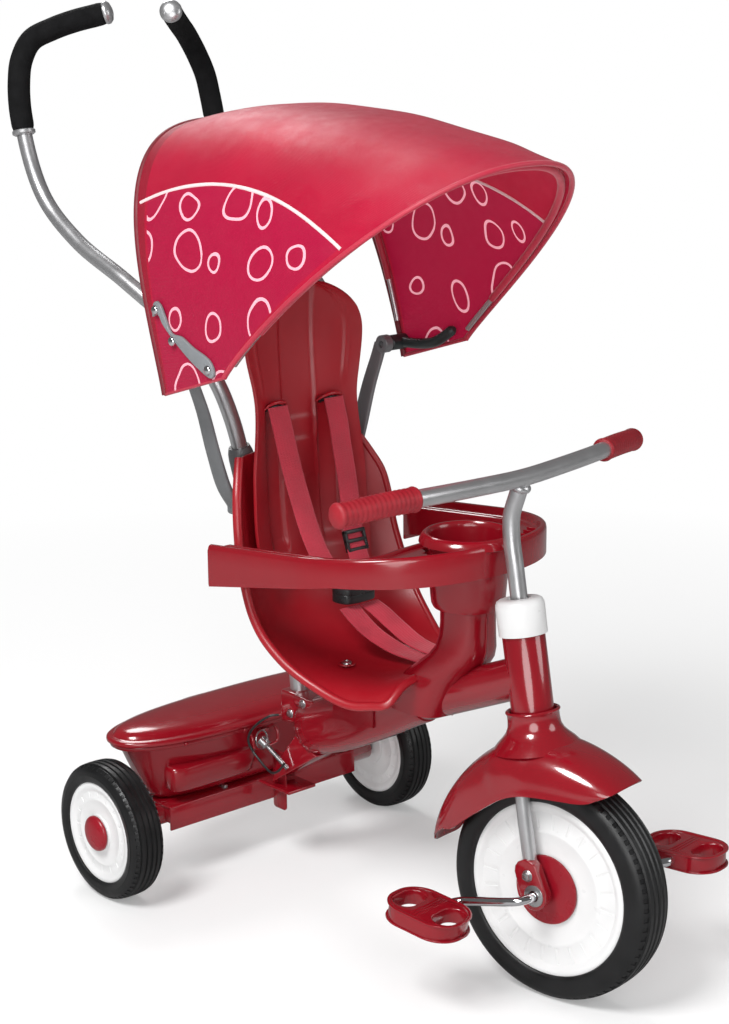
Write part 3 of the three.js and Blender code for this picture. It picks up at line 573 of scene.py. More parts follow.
# %% Red covers over the front hub
for side, s in SIDES:
    cover = [(6.4, 26.4), (33.4, 26.4), (33.4, 23.8), (38.2, 23.8), (39, 24.6),
             (38.4, 26.6), (36, 27.2), (27, 27.6), (25.6, 28.2), (14, 28.7), (12.6, 28.7),
             (6.4, 28.7), (6.4, 26.4)]
    finished(turned([(r, s * y) for r, y in cover], 72), f"hub_cover_red_{side}",
             hub_plastic, "front_wheel", front_hub,
             [f"front_hub_cover_{side}"])

# %% [markdown]
# ## Crank and pedals
# The crank is one bent steel rod that goes through the front hub.  Each pedal is
# a flat moulding with two oval openings, a middle rib and a raised rim.

# %% Crank
CRANK_THROW, PEDAL_MID = 86, 125
CRANK_ANGLE = math.radians(3)


def crank_half(s):
    reach = Vector((math.cos(CRANK_ANGLE), 0, math.sin(CRANK_ANGLE))) * s
    return [reach * d + Vector((0, s * y, 0)) for d, y in (
        (0, 48), (0, 58), (7, 68), (20, 71.5), (CRANK_THROW - 20, 75),
        (CRANK_THROW - 7, 78), (CRANK_THROW, 87), (CRANK_THROW, 110),
        (CRANK_THROW, PEDAL_MID + 26))]


crank_line = spline(crank_half(-1)[::-1] + [Vector((0, -20, 0)), Vector((0, 20, 0))]
                    + crank_half(1), 130)
finished(tube(crank_line, 5, 24), "crank_rod", bright_chrome, "front_wheel", front_hub,
         ["crank_axle"])

# %% Pedals


def oblong(cx, cy, a, b, r, steps=8):
    """A rounded oblong outline, half sizes a and b, corner radius r."""
    corners = ((a - r, b - r, 0), (r - a, b - r, 1), (r - a, r - b, 2), (a - r, r - b, 3))
    return [(cx + x + r * math.cos(t), cy + y + r * math.sin(t))
            for x, y, quarter in corners
            for t in (math.pi / 2 * (quarter + k / steps) for k in range(steps + 1))]


for side, s in SIDES:
    tilt = math.radians(9 if s > 0 else 17)
    where = front_hub @ shift(s * CRANK_THROW * math.cos(CRANK_ANGLE), s * PEDAL_MID,
                              s * CRANK_THROW * math.sin(CRANK_ANGLE)) \
        @ Matrix.Rotation(tilt, 4, "Y")
    openings = [oblong(27, 0, 13.5, 21, 13), oblong(-27, 0, 13.5, 21, 13)]
    body = rounded(plate(oblong(0, 0, 44, 33, 29, 12), -9, 9, "Z", openings), 1.6, 3, 60)
    rims = []
    for z0, z1 in ((7.8, 9.9), (-9.9, -7.8)):
        ring = plate(oblong(0, 0, 47, 34, 30, 12), z0, z1, "Z",
                     [oblong(0, 0, 43.5, 30.5, 26.5, 12)])
        rims.append(rounded(ring, 0.7, 2, 60))
    pads = [rounded(box((-7 + dx, -27, z - 0.6), (-4 + dx, 27, z + 0.6)), 0.5, 2, 60)
            for dx in (0, 4, 8) for z in (9, -9)]
    finished(joined(body, *rims, *pads), f"pedal_red_{side}", tray_plastic,
             f"pedal_{side}", where, [f"pedal_{side}"])

# %% [markdown]
# ## Fork, axle brackets and handlebar
# Silver tubes carry the front wheel.  Small red brackets close their flattened
# ends, each with a bolt.  The stem leaves the white cap, bends forward and ends
# in the bar, whose ends wear ribbed rubber grips.

# %% Bolts and screws


def hex_bolt(across, height, washer, point, toward):
    """A hexagon head on a round washer."""
    ring = turned([(0, 1.2), (washer - 0.5, 1.2), (washer, 0.7), (washer, 0), (0, 0)], 28)
    head = rounded(plate([(across * math.cos(math.tau * k / 6),
                           across * math.sin(math.tau * k / 6)) for k in range(6)],
                         1.2, 1.2 + height), 0.5, 2, 30)
    turn = Vector((0, 1, 0)).rotation_difference(Vector(toward)).to_matrix().to_4x4()
    return moved(joined(ring, head), Matrix.Translation(point), turn)


# %% Fork
LEG_Y, CROWN_Z = 38, 143
steerer = tube([Vector((0, 0, z)) for z in (CROWN_Z, 200, 319.5)], 9.5, 32)
crown = tube([Vector((0, y, CROWN_Z)) for y in (-38, 0, 38)], 8, 32)
finished(joined(steerer, crown), "fork_steerer", silver_paint, "steering", steered,
         ["fork_crown"])
for side, s in SIDES:
    low = [Vector((0, s * LEG_Y, z)) for z in (8, 14, 26, 38, 50, 90, CROWN_Z - 8.4)]
    leg = tube(low, [6.5, 7.2, 7.6, 7.8, 8, 8, 8], 32)
    finished(leg, f"fork_leg_tube_{side}", silver_paint, "steering", steered,
             [f"fork_leg_{side}"])
    cover = [(-15, 26), (-13.5, 32), (-9, 37), (0, 40), (9, 37), (13.5, 32), (15, 26),
             (19, 12), (22, 2), (21, -6), (17, -12), (11, -16), (5, -17), (-2, -15.5),
             (-7, -11), (-10, -4), (-13, 12)]
    inner_y, face_y = s * 35.7, s * 48.6
    bore = [(HUB_LEAD + 6 * math.cos(math.tau * k / 24), 6 * math.sin(math.tau * k / 24))
            for k in range(24)]
    shell = rounded(plate(cover, min(inner_y, face_y), max(inner_y, face_y),
                          holes=[bore]), 2, 3, 50)
    finished(shell, f"axle_bracket_red_{side}", enamel_red, "steering", steered,
             [f"axle_bracket_{side}"])
    washer = turned([(6.2, 0), (11.5, 0), (12, 0.6), (12, 1.4), (11, 2), (6.2, 2)], 40)
    finished(joined(moved(washer, Matrix.Translation((HUB_LEAD, face_y - s * 0.2, 0)),
                          Matrix.Rotation(0 if s > 0 else math.pi, 4, "X")),
                    hex_bolt(4.6, 3.6, 6.4, (2, face_y, 22), (0, s, 0))),
             f"axle_bracket_bolts_{side}", zinc_steel, "steering", steered)

# %% Stem, bar and grips
BAR_Z = 447
stem_line = spline([(0, 0, 317), (0, 0, 345), (0, 0, 384), (4, 0, 408), (15, 0, 430),
                    (24, 0, BAR_Z)], 40)
BAR = [(-6, -262, 5), (6, -215, 6), (16, -165, 5), (22, -80, 2), (24, 0, 0),
       (22, 80, 2), (16, 165, 5), (6, 215, 6), (-6, 262, 5)]
bar_line = spline([(x, y, BAR_Z + z) for x, y, z in BAR], 90)
weld = tube(spline([(17.5, 0, 434), (19.5, 0, 437.5), (21.5, 0, 441)], 7),
            [9.5, 11, 11.6, 11.8, 11.6, 10.8, 9.6], 32)
finished(joined(tube(stem_line, 9.5, 32), tube(bar_line, 9.5, 32), weld),
         "bar_and_stem", silver_paint, "steering", steered,
         ["handlebar"])
for side, s in SIDES:
    grip_line = spline([(14, s * 172, BAR_Z + 5.2), (6, s * 215, BAR_Z + 6),
                        (-6, s * 262, BAR_Z + 5), (-8.5, s * 272, BAR_Z + 4.8)], 70)
    sizes = [12.6 + 0.35 * math.sin(k * math.pi / 2) for k in range(70)]
    sizes[:4] = [11.2, 13, 13.6, 13.2]
    sizes[-5:] = [13.2, 13.6, 13.4, 12.4, 10.5]
    finished(tube(grip_line, sizes, 40), f"bar_grip_rubber_{side}", grip_rubber,
             "steering", steered, [f"bar_grip_{side}"])

# %% [markdown]
# ## Fender
# A stamped red arch covers the tyre.  Its sides pull in towards both ends and
# swell over the fork, and a collar with a rolled lip goes round the foot of the
# head tube.

# %% Fender
FENDER_FRONT, FENDER_REAR = math.radians(47), math.radians(164)


def fender_surface(u, v):
    tail, nose = max(0, (v - 0.8) / 0.2) ** 2, max(0, (0.12 - v) / 0.12) ** 2
    angle = FENDER_FRONT + (FENDER_REAR - FENDER_FRONT) * v \
        + (0.08 * nose - 0.2 * tail) * abs(u) ** 4
    swell = math.sin(math.pi * min(1, max(0, v * 0.94 + 0.05)))
    half = 25 + 28 * swell ** 0.45
    drop = 10 + 46 * swell ** 0.7
    crown = 158 + 8 * math.exp(-(((v - 0.42) / 0.2) ** 2))
    bend = abs(u)
    fork_pad = math.exp(-(((v - 0.44) / 0.085) ** 4)) * math.exp(-(((bend - 0.62) / 0.3)
                                                                   ** 4))
    radius = crown - drop * bend ** 2.6 + 2.2 * fork_pad
    reach = min(1, bend) * math.pi / 2
    y = (half + 2.4 * fork_pad) * math.sin(reach) * math.copysign(1, u)
    edge = max(0, bend - 0.93) / 0.07
    y += math.copysign(1.6, u) * edge * edge if bend > 0.93 else 0
    return Vector((HUB_LEAD + radius * math.cos(angle), y, radius * math.sin(angle)))


arch = skin(fender_surface, 56, 90, 2.2)
rounded(arch, 0.9, 3, 60)
collar = turned([(50, 152), (47, 155.5), (43, 160), (37, 165.5), (32, 171), (29.4, 177),
                 (28.6, 184), (28.5, 190), (29.4, 191.6), (30.2, 193), (29.6, 194.4),
                 (28, 195), (26.6, 194), (26.2, 191), (25.6, 170), (25.4, 160)], 96, "Z")
finished(joined(arch, collar), "fender_red", enamel_red, "steering", steered,
         ["front_fender"], 50)

# %% [markdown]
# ## Head tube, bearing cap and boom
# The head tube is one length of red tube with a lower bearing, and the boom is
# welded to its back.  Behind the seat's front edge the boom tube goes into a
# deeper pressed shell, with a seam where the two meet.

# %% Head tube, cap and lower bearing
head = turned([(10.5, 178), (22.6, 178), (23.5, 179), (23.5, 276), (22.8, 277),
               (10.5, 277), (10.5, 178)], 72, "Z")
finished(head, "head_tube_red", enamel_red, "frame", raked, ["head_tube"])
cap = turned([(10.6, 277.4), (26.3, 277.4), (26.6, 278), (26.9, 300), (27, 307),
              (26.6, 311.5), (25, 315), (22, 316.8), (19, 317), (13.4, 317),
              (12.6, 315.6), (10.6, 315.6), (10.6, 277.4)], 72, "Z")
finished(cap, "head_cap_white", white_plastic, "frame", raked,
         ["head_cap"])
bearing = turned([(10.6, 171.5), (18, 171.5), (20.5, 173), (21.6, 177.6),
                  (10.6, 177.6), (10.6, 171.5)], 56, "Z")
finished(bearing, "lower_bearing", black_plastic, "frame", raked)

# %% Boom tube, boom shell and the tabs below it
BOOM_REAR, BOOM_FRONT = Vector((112, 0, 190)), Vector((472, 0, 346))
BOOM_RISE = math.atan2(BOOM_FRONT.z - BOOM_REAR.z, BOOM_FRONT.x - BOOM_REAR.x)
boom_up = Vector((-math.sin(BOOM_RISE), 0, math.cos(BOOM_RISE)))


def boom_point(t):
    return BOOM_REAR.lerp(BOOM_FRONT, t)


def soft_ring(middle, up, half_y, half_up, power, count=56):
    """A squarish ring: power 2 is an ellipse, higher is squarer."""
    ring = []
    for k in range(count):
        c, s = squarish(k, count, 2 / power)
        ring.append(middle + up * half_up * s + Vector((0, half_y * c, 0)))
    return ring


tube_rings = [soft_ring(boom_point(t), boom_up, 23.4, 23.4, 2, 56)
              for t in (0.55, 0.7, 0.85, 0.958)]
slope = math.tan(RAKE)
saddle = []
for k in range(56):
    y, lift = (23.4 * f(math.tau * k / 56) for f in (math.cos, math.sin))
    gap = math.sqrt(max(0, 21.5 ** 2 - y * y)) / math.cos(RAKE)
    foot = BOOM_REAR + boom_up * lift
    run = BOOM_FRONT - BOOM_REAR
    t = (PIVOT.x + slope * (PIVOT.z - foot.z) - foot.x - gap) / (run.x + slope * run.z)
    saddle.append(foot + run * t + Vector((0, y, 0)))
tube_rings.append(saddle)
finished(loft(tube_rings), "boom_tube_red", enamel_red, "frame",
         stands_for=["boom_tube"])
SHELL = [(0, 19, 23, 2.4), (0.004, 21.5, 25.5, 2.4), (0.04, 27, 34, 2.7),
         (0.12, 28.4, 36, 2.9), (0.2, 29, 37, 3), (0.31, 28.8, 35, 2.9),
         (0.42, 28, 32, 2.8), (0.5, 26.6, 28.4, 2.5), (0.57, 25.6, 25.8, 2.1),
         (0.59, 25.4, 25.4, 2), (0.594, 24.9, 24.9, 2), (0.595, 23.2, 23.2, 2)]
shell = loft([soft_ring(boom_point(t), boom_up, a, b, p) for t, a, b, p in SHELL])
web = rounded(plate([(62, 109), (150, 168), (110, 185), (72, 140)], -19, 19), 2, 3)
foot = rounded(box((40, -22, 104), (100, 22, 108)), 1.2, 3)
lock_tab = rounded(plate(oblong(65, 111, 12.5, 38.5, 5), -8.6, -6.2), 0.8, 2)
finished(joined(shell, web, foot, lock_tab), "boom_shell_red", enamel_red, "frame",
         stands_for=["boom_shell"])

# %% Clamp and post behind the seat
clamp = joined(
    rounded(plate([(84, 197), (121, 203), (121, 239), (84, 239)], -19.6, 19.6), 3, 3),
    rounded(box((113, -23.6, 227), (149, 23.6, 239.6)), 2.5, 3))
finished(clamp, "post_clamp_red", enamel_red, "frame",
         stands_for=["post_clamp"])
post = tube([Vector((100, 0, 206)), Vector((87, 0, 363)), Vector((74, 0, 520))], 11, 40)
finished(post, "handle_post_silver", silver_paint, "frame",
         stands_for=["handle_post"])
finished(joined(*[hex_bolt(3.8, 2.6, 5.6, p, d) for p, d in (
    ((103, -19.6, 212), (0, -1, 0)), ((103, 19.6, 212), (0, 1, 0)),
    ((132, -23.4, 233), (0, -1, 0)), ((132, 23.4, 233), (0, 1, 0)))]),
    "clamp_bolts", zinc_steel, "frame")

# %% Rear axle beam and rod
beam = joined(
    rounded(box((-27, -150, 97.5), (27, 150, 101)), 1.4, 3),
    rounded(box((-27, -150, 70), (-24.4, 150, 99)), 1, 2),
    rounded(box((24.4, -150, 70), (27, 150, 99)), 1, 2),
    rounded(box((-26, -148, 78), (26, -145, 99)), 1, 2),
    rounded(box((-26, 145, 78), (26, 148, 99)), 1, 2),
    moved(turned([(5.6, -192), (13, -192), (13.8, -191), (13.8, 191), (13, 192),
                  (5.6, 192)], 48), shift(0, 0, 85)))
finished(beam, "axle_beam_red", enamel_red, "frame",
         stands_for=["rear_axle_beam"])
rod = moved(turned([(0, -245.6), (4.4, -245.6), (5, -245), (5, 245), (4.4, 245.6),
                    (0, 245.6)], 24), shift(0, 0, 85))
finished(rod, "axle_rod_steel", zinc_steel, "frame",
         stands_for=["rear_axle_rod"])

# %% [markdown]
# ## Seat
# Two mouldings make the seat: a deep bucket whose rim is rolled outwards, and a
# tall back that sits inside it.  Both are bent skins, given their thickness
# after the bends.  The back has grooves for the straps and low ledges between.

# %% Lower shell with its rolled rim
SHELL_MIDDLE = [Vector((x, 0, z)) for x, z in (
    (94, 548), (98, 470), (112, 400), (140, 345), (185, 319), (240, 310), (300, 312),
    (345, 324))]
SHELL_RIM = [Vector(p) for p in (
    (106, 92, 545), (126, 112, 500), (140, 119, 430), (170, 122, 364), (208, 116, 328),
    (250, 104, 305), (300, 92, 292), (343, 76, 300))]


def shell_surface(u, v):
    middle, rim = curve_at(SHELL_MIDDLE, v), curve_at(SHELL_RIM, v)
    lift = abs(u) ** 3
    return Vector((middle.x + (rim.x - middle.x) * lift,
                   math.copysign(rim.y * abs(u) ** 0.9, u),
                   middle.z + (rim.z - middle.z) * lift))


shell = skin(shell_surface, 64, 72, 3.6)
edge_line = ([shell_surface(-1, v / 60) for v in range(60)]
             + [shell_surface(-1 + 2 * k / 24, 1) for k in range(25)]
             + [shell_surface(1, 1 - v / 60) for v in range(1, 61)])
edge_line = spline([p + Vector((1.5, math.copysign(1.2, p.y), 0)) for p in edge_line[::4]],
                   180)
roll = tube(edge_line, 5.4, 20, 0.8)
finished(joined(shell, roll), "seat_bucket", seat_plastic, "frame",
         stands_for=["seat_shell"], soft_angle=50)

# %% Tall back
BACK_MIDDLE = [Vector((x, 0, z)) for x, z in (
    (126, 395), (112, 450), (107, 520), (104, 600), (100, 680), (102, 741))]
BACK_HALF = [Vector((0, y, 0)) for y in (78, 86, 84, 76, 88, 30)]
CROWN_START, CROWN_SPAN = 0.8, 0.205


def smooth_step(low, high, value):
    t = min(1, max(0, (value - low) / (high - low)))
    return t * t * (3 - 2 * t)


def back_surface(u, v):
    middle = curve_at(BACK_MIDDLE, v)
    if v > CROWN_START:
        inner = 1 - ((v - CROWN_START) / CROWN_SPAN) ** 2
        half = curve_at(BACK_HALF, CROWN_START).y * math.sqrt(max(0.02, inner))
    else:
        half = curve_at(BACK_HALF, v).y
    y, z = half * u, middle.z
    forward = 20 * abs(u) ** 2.4 * min(1, half / 80)
    groove = (smooth_step(26, 31, abs(y)) - smooth_step(53, 58, abs(y))) \
        * (smooth_step(420, 440, z) - smooth_step(596, 604, z))
    ledge = sum(smooth_step(a, a + 7, z) for a in (506, 552, 578)) \
        * (1 - smooth_step(22, 28, abs(y)))
    outline = smooth_step(0.74, 0.78, abs(u)) - smooth_step(0.8, 0.84, abs(u))
    forward += -6 * groove - 1.3 * ledge + 1.4 * outline * smooth_step(610, 640, z)
    return Vector((middle.x + forward, y, z))


back_panel = skin(back_surface, 88, 150, 3.6)
finished(rounded(back_panel, 0.9, 2, 70), "seat_back_panel", seat_plastic, "frame",
         stands_for=["seat_back"], soft_angle=50)

# %% Slot lips, seat screws and the red lock knob
lips = []
for s in (1, -1):
    brow = spline([(109, s * 24, 598), (116, s * 30, 604), (118, s * 42, 606.5),
                   (117, s * 54, 604), (114, s * 60, 598)], 30)
    lips.append(tube(brow, [0.8 + 1.6 * math.sin(math.pi * k / 29) for k in range(30)],
                     16))
finished(joined(*lips), "strap_slot_lips", seat_plastic, "frame")
slots = [tube(spline([(109.5, s * 27, 597.5), (112.5, s * 42, 600.5),
                      (111.5, s * 57, 597.5)], 20), 2.6, 12) for s in (1, -1)]
finished(joined(*slots), "strap_slots", black_plastic, "frame")
screws, rings = [], []
for x, y, z in ((240, 45, 316), (240, -45, 316)):
    head = turned([(0, 2.2), (1.2, 2.2), (1.6, 3.4), (4.4, 3.2), (6, 2), (6.4, 0), (0, 0)],
                  32, "Z")
    screws.append(moved(head, shift(x, y, z)))
    dish = turned([(6.6, 0.4), (8.2, 0.9), (9.6, 0.6), (10.2, -0.6), (6.6, -0.8),
                   (6.6, 0.4)], 40, "Z")
    rings.append(moved(dish, shift(x, y, z)))
finished(joined(*screws), "seat_screws", zinc_steel, "frame")
finished(joined(*rings), "seat_screw_dishes", seat_plastic, "frame")
knob = turned([(0, 20), (3.4, 19.6), (5.8, 17.4), (6.6, 13.5), (5.4, 10), (3.4, 8),
               (3, 0), (0, 0)], 32)
finished(moved(knob, shift(100, -76, 482), Matrix.Rotation(math.pi, 4, "Z")),
         "side_knob", tray_plastic, "frame")
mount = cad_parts["seat_mount"]
mount.data.materials.clear()
mount.data.materials.append(tray_plastic)
print("seat is done")

# %% [markdown]
# ## Harness
# Shoulder straps come out of the slots and run down to the buckle, and the lap
# straps run forward from it.  Webbing is flat, so each strap is a thin skin
# along a smooth line, with a thread pattern on its UV map.

# %% Straps, buckle and adjusters
STRAP_WIDE, STRAP_THICK = 29, 1.7


def strap(points, width=STRAP_WIDE, lean=0.0, count=90):
    """A flat strap: the width is across Y and the points are its middle line."""
    points = [Vector(p) for p in points]

    def surface(u, v):
        p = curve_at(points, v)
        crown = 0.5 * (1 - u * u)
        return Vector((p.x + crown, p.y + u * width / 2, p.z + u * lean))
    return rounded(skin(surface, 8, count, STRAP_THICK), 0.35, 2, 70)


for side, s in SIDES:
    down = [(117, s * 43, 601), (126, s * 42.5, 575), (134, s * 41, 545),
            (148, s * 38, 500), (168, s * 30, 440), (196, s * 22, 398)]
    webbing = finished(strap(down), f"shoulder_webbing_{side}", webbing_red, "frame",
                       stands_for=[f"shoulder_strap_{side}"])
    run = length_of(spline(down, 60)) * MM
lap_runs = [[(210, 15, 371), (222, 22, 362), (240, 30, 347), (268, 38, 330),
             (300, 45, 323)],
            [(210, -15, 371), (222, -13, 361), (240, -6, 345), (268, 10, 327),
             (300, 22, 320)]]
lap = finished(joined(*[strap(run, count=60) for run in lap_runs]), "lap_webbing",
               webbing_red, "frame", stands_for=["lap_strap"])
sum(length_of(spline(run, 60)) for run in lap_runs) * MM
BUTTON_HOLE = [(199, -8), (209, -8), (209, 8), (199, 8)]
buckle_shape = spline([(190, -12, 0), (190, -23, 0), (195, -26, 0), (206, -25.5, 0),
                       (215, -21, 0), (218, -10, 0), (218, 10, 0), (215, 21, 0),
                       (206, 25.5, 0), (195, 26, 0), (190, 23, 0), (190, 12, 0)], 64)
outline = [(p.x, p.y) for p in buckle_shape]
buckle = joined(rounded(plate(outline, 387, 394, "Z", [BUTTON_HOLE]), 1.2, 3, 60),
                rounded(plate(outline, 376, 387.2, "Z"), 1.5, 3, 60))
finished(buckle, "buckle_black", black_plastic, "frame",
         stands_for=["buckle"])
button = rounded(box((199.5, -7.5, 390.5), (208.5, 7.5, 396.5)), 1.2, 3)
finished(button, "buckle_button_red", hub_plastic, "buckle_button",
         stands_for=["buckle_button"])
for side, s in SIDES[:1]:
    ladder = [rounded(box((-3.2, -16, z - 2.4), (3.6, 16, z + 2.4)), 1.2, 3)
              for z in (-11, 0, 11)]
    ladder += [rounded(box((-3.2, y - 2, -13), (3.6, y + 2, 13)), 1.2, 3)
               for y in (-14, 14)]
    lean = Matrix.Rotation(math.radians(-19), 4, "Y")
    finished(moved(joined(*ladder), shift(171, s * 29.5, 437), lean),
             f"strap_adjuster_{side}", black_plastic, "frame")

# %% [markdown]
# ## Tray
# The tray is a hoop with a raised outer rim and a sunk floor.  One cross
# section is carried round from the left end to the right end, and a round hole
# is left in front for the cup holder.

# %% Tray hoop
CUP_X, CUP_HOLE = 395, 48.5


def hoop_line(half, front):
    """Plan points of one side of the hoop from its back end to the front middle."""
    a, b = Vector((300, half - 4, 0)), Vector((385, half - 16, 0))
    c, d = Vector((front, 96, 0)), Vector((front, 0, 0))
    straight = [Vector((142, half, 0)).lerp(a, k / 14) for k in range(14)]
    curve = [a * (1 - t) ** 3 + b * 3 * t * (1 - t) ** 2 + c * 3 * t * t * (1 - t)
             + d * t ** 3 for t in (k / 26 for k in range(27))]
    one_side = straight + curve
    return one_side + [Vector((p.x, -p.y, 0)) for p in one_side[-2::-1]]


hoop_outer, hoop_inner = hoop_line(168, 446), hoop_line(134, 338)
HOOP_STEPS = len(hoop_outer) - 1
# Each entry is (distance from the outer side, distance from the inner side, height
# below the top); the missing distance is None.
SECTION = [(0, None, None), (0, None, 22), (0, None, 6), (0.8, None, 2.6), (2.6, None, 0.6),
           (5, None, 0), (7.4, None, 0.6), (9, None, 3), (9.8, None, 7), (11.6, None, 9),
           (14, None, 9.4), (None, 12, 9.4), (None, 8.6, 9), (None, 7, 6.6),
           (None, 5.4, 5.4), (None, 2.4, 5.2), (None, 0.6, 6.4), (None, 0, 9),
           (None, 0, 20), (None, 0, -1)]


def tray_top(x):
    return 461 + (x - 136) * 33 / 324


def tray_bottom(x):
    return 411 + (x - 136) * 39 / 204 if x < 340 else 450 + (x - 340) * 8 / 120


def hoop_surface(u, v):
    k = min(int(round(v * HOOP_STEPS)), HOOP_STEPS)
    outer, inner = hoop_outer[k], hoop_inner[k]
    toward = (inner - outer).normalized()
    from_out, from_in, drop = SECTION[int(round((u + 1) / 2 * (len(SECTION) - 1)))]
    p = outer + toward * from_out if from_in is None else inner - toward * from_in
    top, bottom = tray_top(p.x), tray_bottom(p.x)
    if drop is None:
        z = bottom
    elif drop < 0:
        z = bottom + 7
    else:
        z = top - drop
    return Vector((p.x, p.y, z))


hoop = skin(hoop_surface, len(SECTION) - 1, HOOP_STEPS)
bmesh.ops.subdivide_edges(
    hoop, edges=[e for e in hoop.edges if e.calc_length() > 22
                 and abs(sum(v.co.y for v in e.verts)) < 160
                 and sum(v.co.x for v in e.verts) > 640], cuts=3, use_grid_fill=True)
inside = [f for f in hoop.faces
          if math.hypot(f.calc_center_median().x - CUP_X, f.calc_center_median().y)
          < CUP_HOLE - 1 and f.calc_center_median().z > 474]
bmesh.ops.delete(hoop, geom=inside, context="FACES")
for vert in hoop.verts:
    reach = math.hypot(vert.co.x - CUP_X, vert.co.y)
    if reach < CUP_HOLE and vert.co.z > 470:
        out = CUP_HOLE / max(reach, 1)
        vert.co.x, vert.co.y = CUP_X + (vert.co.x - CUP_X) * out, vert.co.y * out
bmesh.ops.recalc_face_normals(hoop, faces=hoop.faces)
bmesh.ops.solidify(hoop, geom=hoop.faces[:], thickness=2.4)
ends = []
for s in (1, -1):
    end = rounded(box((139.6, min(s * 134.5, s * 167.5), 413), (143.2, max(s * 134.5,
                                                                          s * 167.5), 456)),
                  1.6, 3)
    ends.append(end)
finished(joined(hoop, *ends), "tray_hoop", tray_plastic, "frame",
         stands_for=["tray"], soft_angle=38)

# %% Tray ribs, cup holder and latch
ribs = []
for k in (30, 32, 34, 36, 38, 39, 41, 43):
    outer, inner = hoop_outer[k], hoop_inner[k]
    toward = (inner - outer).normalized()
    turn = Matrix.Rotation(math.atan2(toward.y, toward.x), 4, "Z")
    top = tray_top(outer.x)
    if abs(outer.y) > 40:
        ribs.append(moved(rounded(box((8, -1, -9.6), (24, 1, -3.6)), 0.7, 2),
                          shift(outer.x, outer.y, top), turn))
finished(joined(*ribs), "tray_ribs", tray_plastic, "frame")
cup = turned([(0, 410.4), (35, 410.4), (39, 412), (41, 416), (42, 424), (46.2, 478),
              (47, 484), (53.6, 484.6), (55, 486), (54.4, 489), (51.5, 494), (48.8, 496.4),
              (46.4, 496.6), (44.6, 494.8), (43.8, 490), (39, 420), (37.6, 415.6),
              (34, 414), (0, 414)], 96, "Z")
finished(moved(cup, shift(CUP_X, 0, 0)), "cup_holder_red", tray_plastic, "frame",
         stands_for=["cup_holder"])
latch = joined(rounded(box((-14, -3.4, 0), (10, 3.4, 2.2)), 0.8, 2),
               moved(turned([(0, 4.6), (2.6, 4.4), (4, 3.2), (4.4, 0), (0, 0)], 28, "Z"),
                     shift(12, 0, 0.4)))
finished(moved(latch, shift(404, -92, 478.4), Matrix.Rotation(math.radians(48), 4, "Z")),
         "tray_latch", zinc_steel, "frame")

# %% Column that carries the tray
COLUMN = [(277, 47, 36.5, -72), (290, 46, 37, -64), (306, 44.5, 37, -53),
          (322, 41, 36.6, -41), (338, 37.5, 35.4, -24), (352, 34, 33, -10),
          (364, 31, 30.4, -3), (378, 29.4, 28, -0.6), (392, 29, 27, 0), (403, 29, 27, 0),
          (409.4, 29, 27, 0)]
for side, s in SIDES:
    rings = []
    for z, half_x, half_y, back in COLUMN:
        middle = Vector((CUP_X + back, 0, z))
        ring = []
        for k in range(64):
            c, t = squarish(k, 64, 0.7)
            ring.append(middle + Vector((half_x * c, half_y * t, 0)))
        rings.append(ring)
    half = loft(rings)
    bmesh.ops.bisect_plane(half, geom=half.verts[:] + half.edges[:] + half.faces[:],
                           plane_co=(0, s * 0.3, 0), plane_no=(0, -s, 0),
                           clear_outer=True)
    bmesh.ops.holes_fill(half, edges=[e for e in half.edges if e.is_boundary], sides=0)
    seam = [e for e in half.edges if all(abs(v.co.y) < 0.4 for v in e.verts)]
    bmesh.ops.bevel(half, geom=seam, offset=1.3, offset_type="OFFSET", affect="EDGES",
                    segments=2, profile=0.5, material=-1, clamp_overlap=True)
    finished(half, f"column_half_{side}", tray_plastic, "frame",
             stands_for=[f"column_{side}"])

# %% [markdown]
# ## Handle
# A grey yoke on the rear post carries two arching stays, which carry the
# canopy, and the silver tubes of the push handle, which sweep back over the bucket
# and end behind the canopy in two foam grips.

# %% Yoke and stays
TILT_X, TILT_Z = 97, 651
yoke_body = rounded(box((64, -62, 452), (92, 62, 500)), 5, 4)
sockets = [yoke_body]
for side, s in SIDES:
    arm = spline([(80, s * 50, 470), (79.5, s * 58, 500), (79, s * 71, 552)], 24)
    sockets.append(tube(arm, [15.5] * 20 + [15.2, 14.8, 13.8, 12.6], 32))
    for z in (462, 486):
        sockets.append(hex_bolt(4.6, 2.6, 6.4, (91.8, s * 34, z), (1, 0, 0)))
finished(joined(*sockets), "yoke_grey", stay_plastic, "frame",
         stands_for=["yoke"])
for side, s in SIDES:
    line = spline([(0, 79, 478), (0, 96, 504), (0, 112, 548), (0, 128, 602),
                   (0, 141, 636), (0, 146, 651)], 40)
    rings = []
    for k, p in enumerate(line):
        v = k / 39
        ahead = (line[min(k + 1, 39)] - line[max(k - 1, 0)]).normalized()
        out = Vector((0, ahead.z, -ahead.y))
        middle = Vector((82 + 6 * v, 0, 0)) + p
        half = 15 - 5 * v
        ring = []
        for i in range(32):
            c, t = squarish(i, 32, 0.6, 0.8)
            q = middle + Vector((half * c, 0, 0)) + out * 3.8 * t
            ring.append(Vector((q.x, s * q.y, q.z)))
        rings.append(ring)
    ear = turned([(4.6, 138.2), (10, 138.2), (11, 139.2), (11, 148.8), (10, 149.8),
                  (4.6, 149.8), (4.6, 138.2)], 48)
    ear = moved(ear, shift(TILT_X, 0, TILT_Z), flipped(s))
    foot = moved(rounded(box((68, 60, 470), (97, 84, 486)), 4, 3),
                 flipped(s))
    finished(joined(loft(rings), ear, foot), f"stay_grey_{side}", stay_plastic, "frame",
             stands_for=[f"canopy_stay_{side}"])

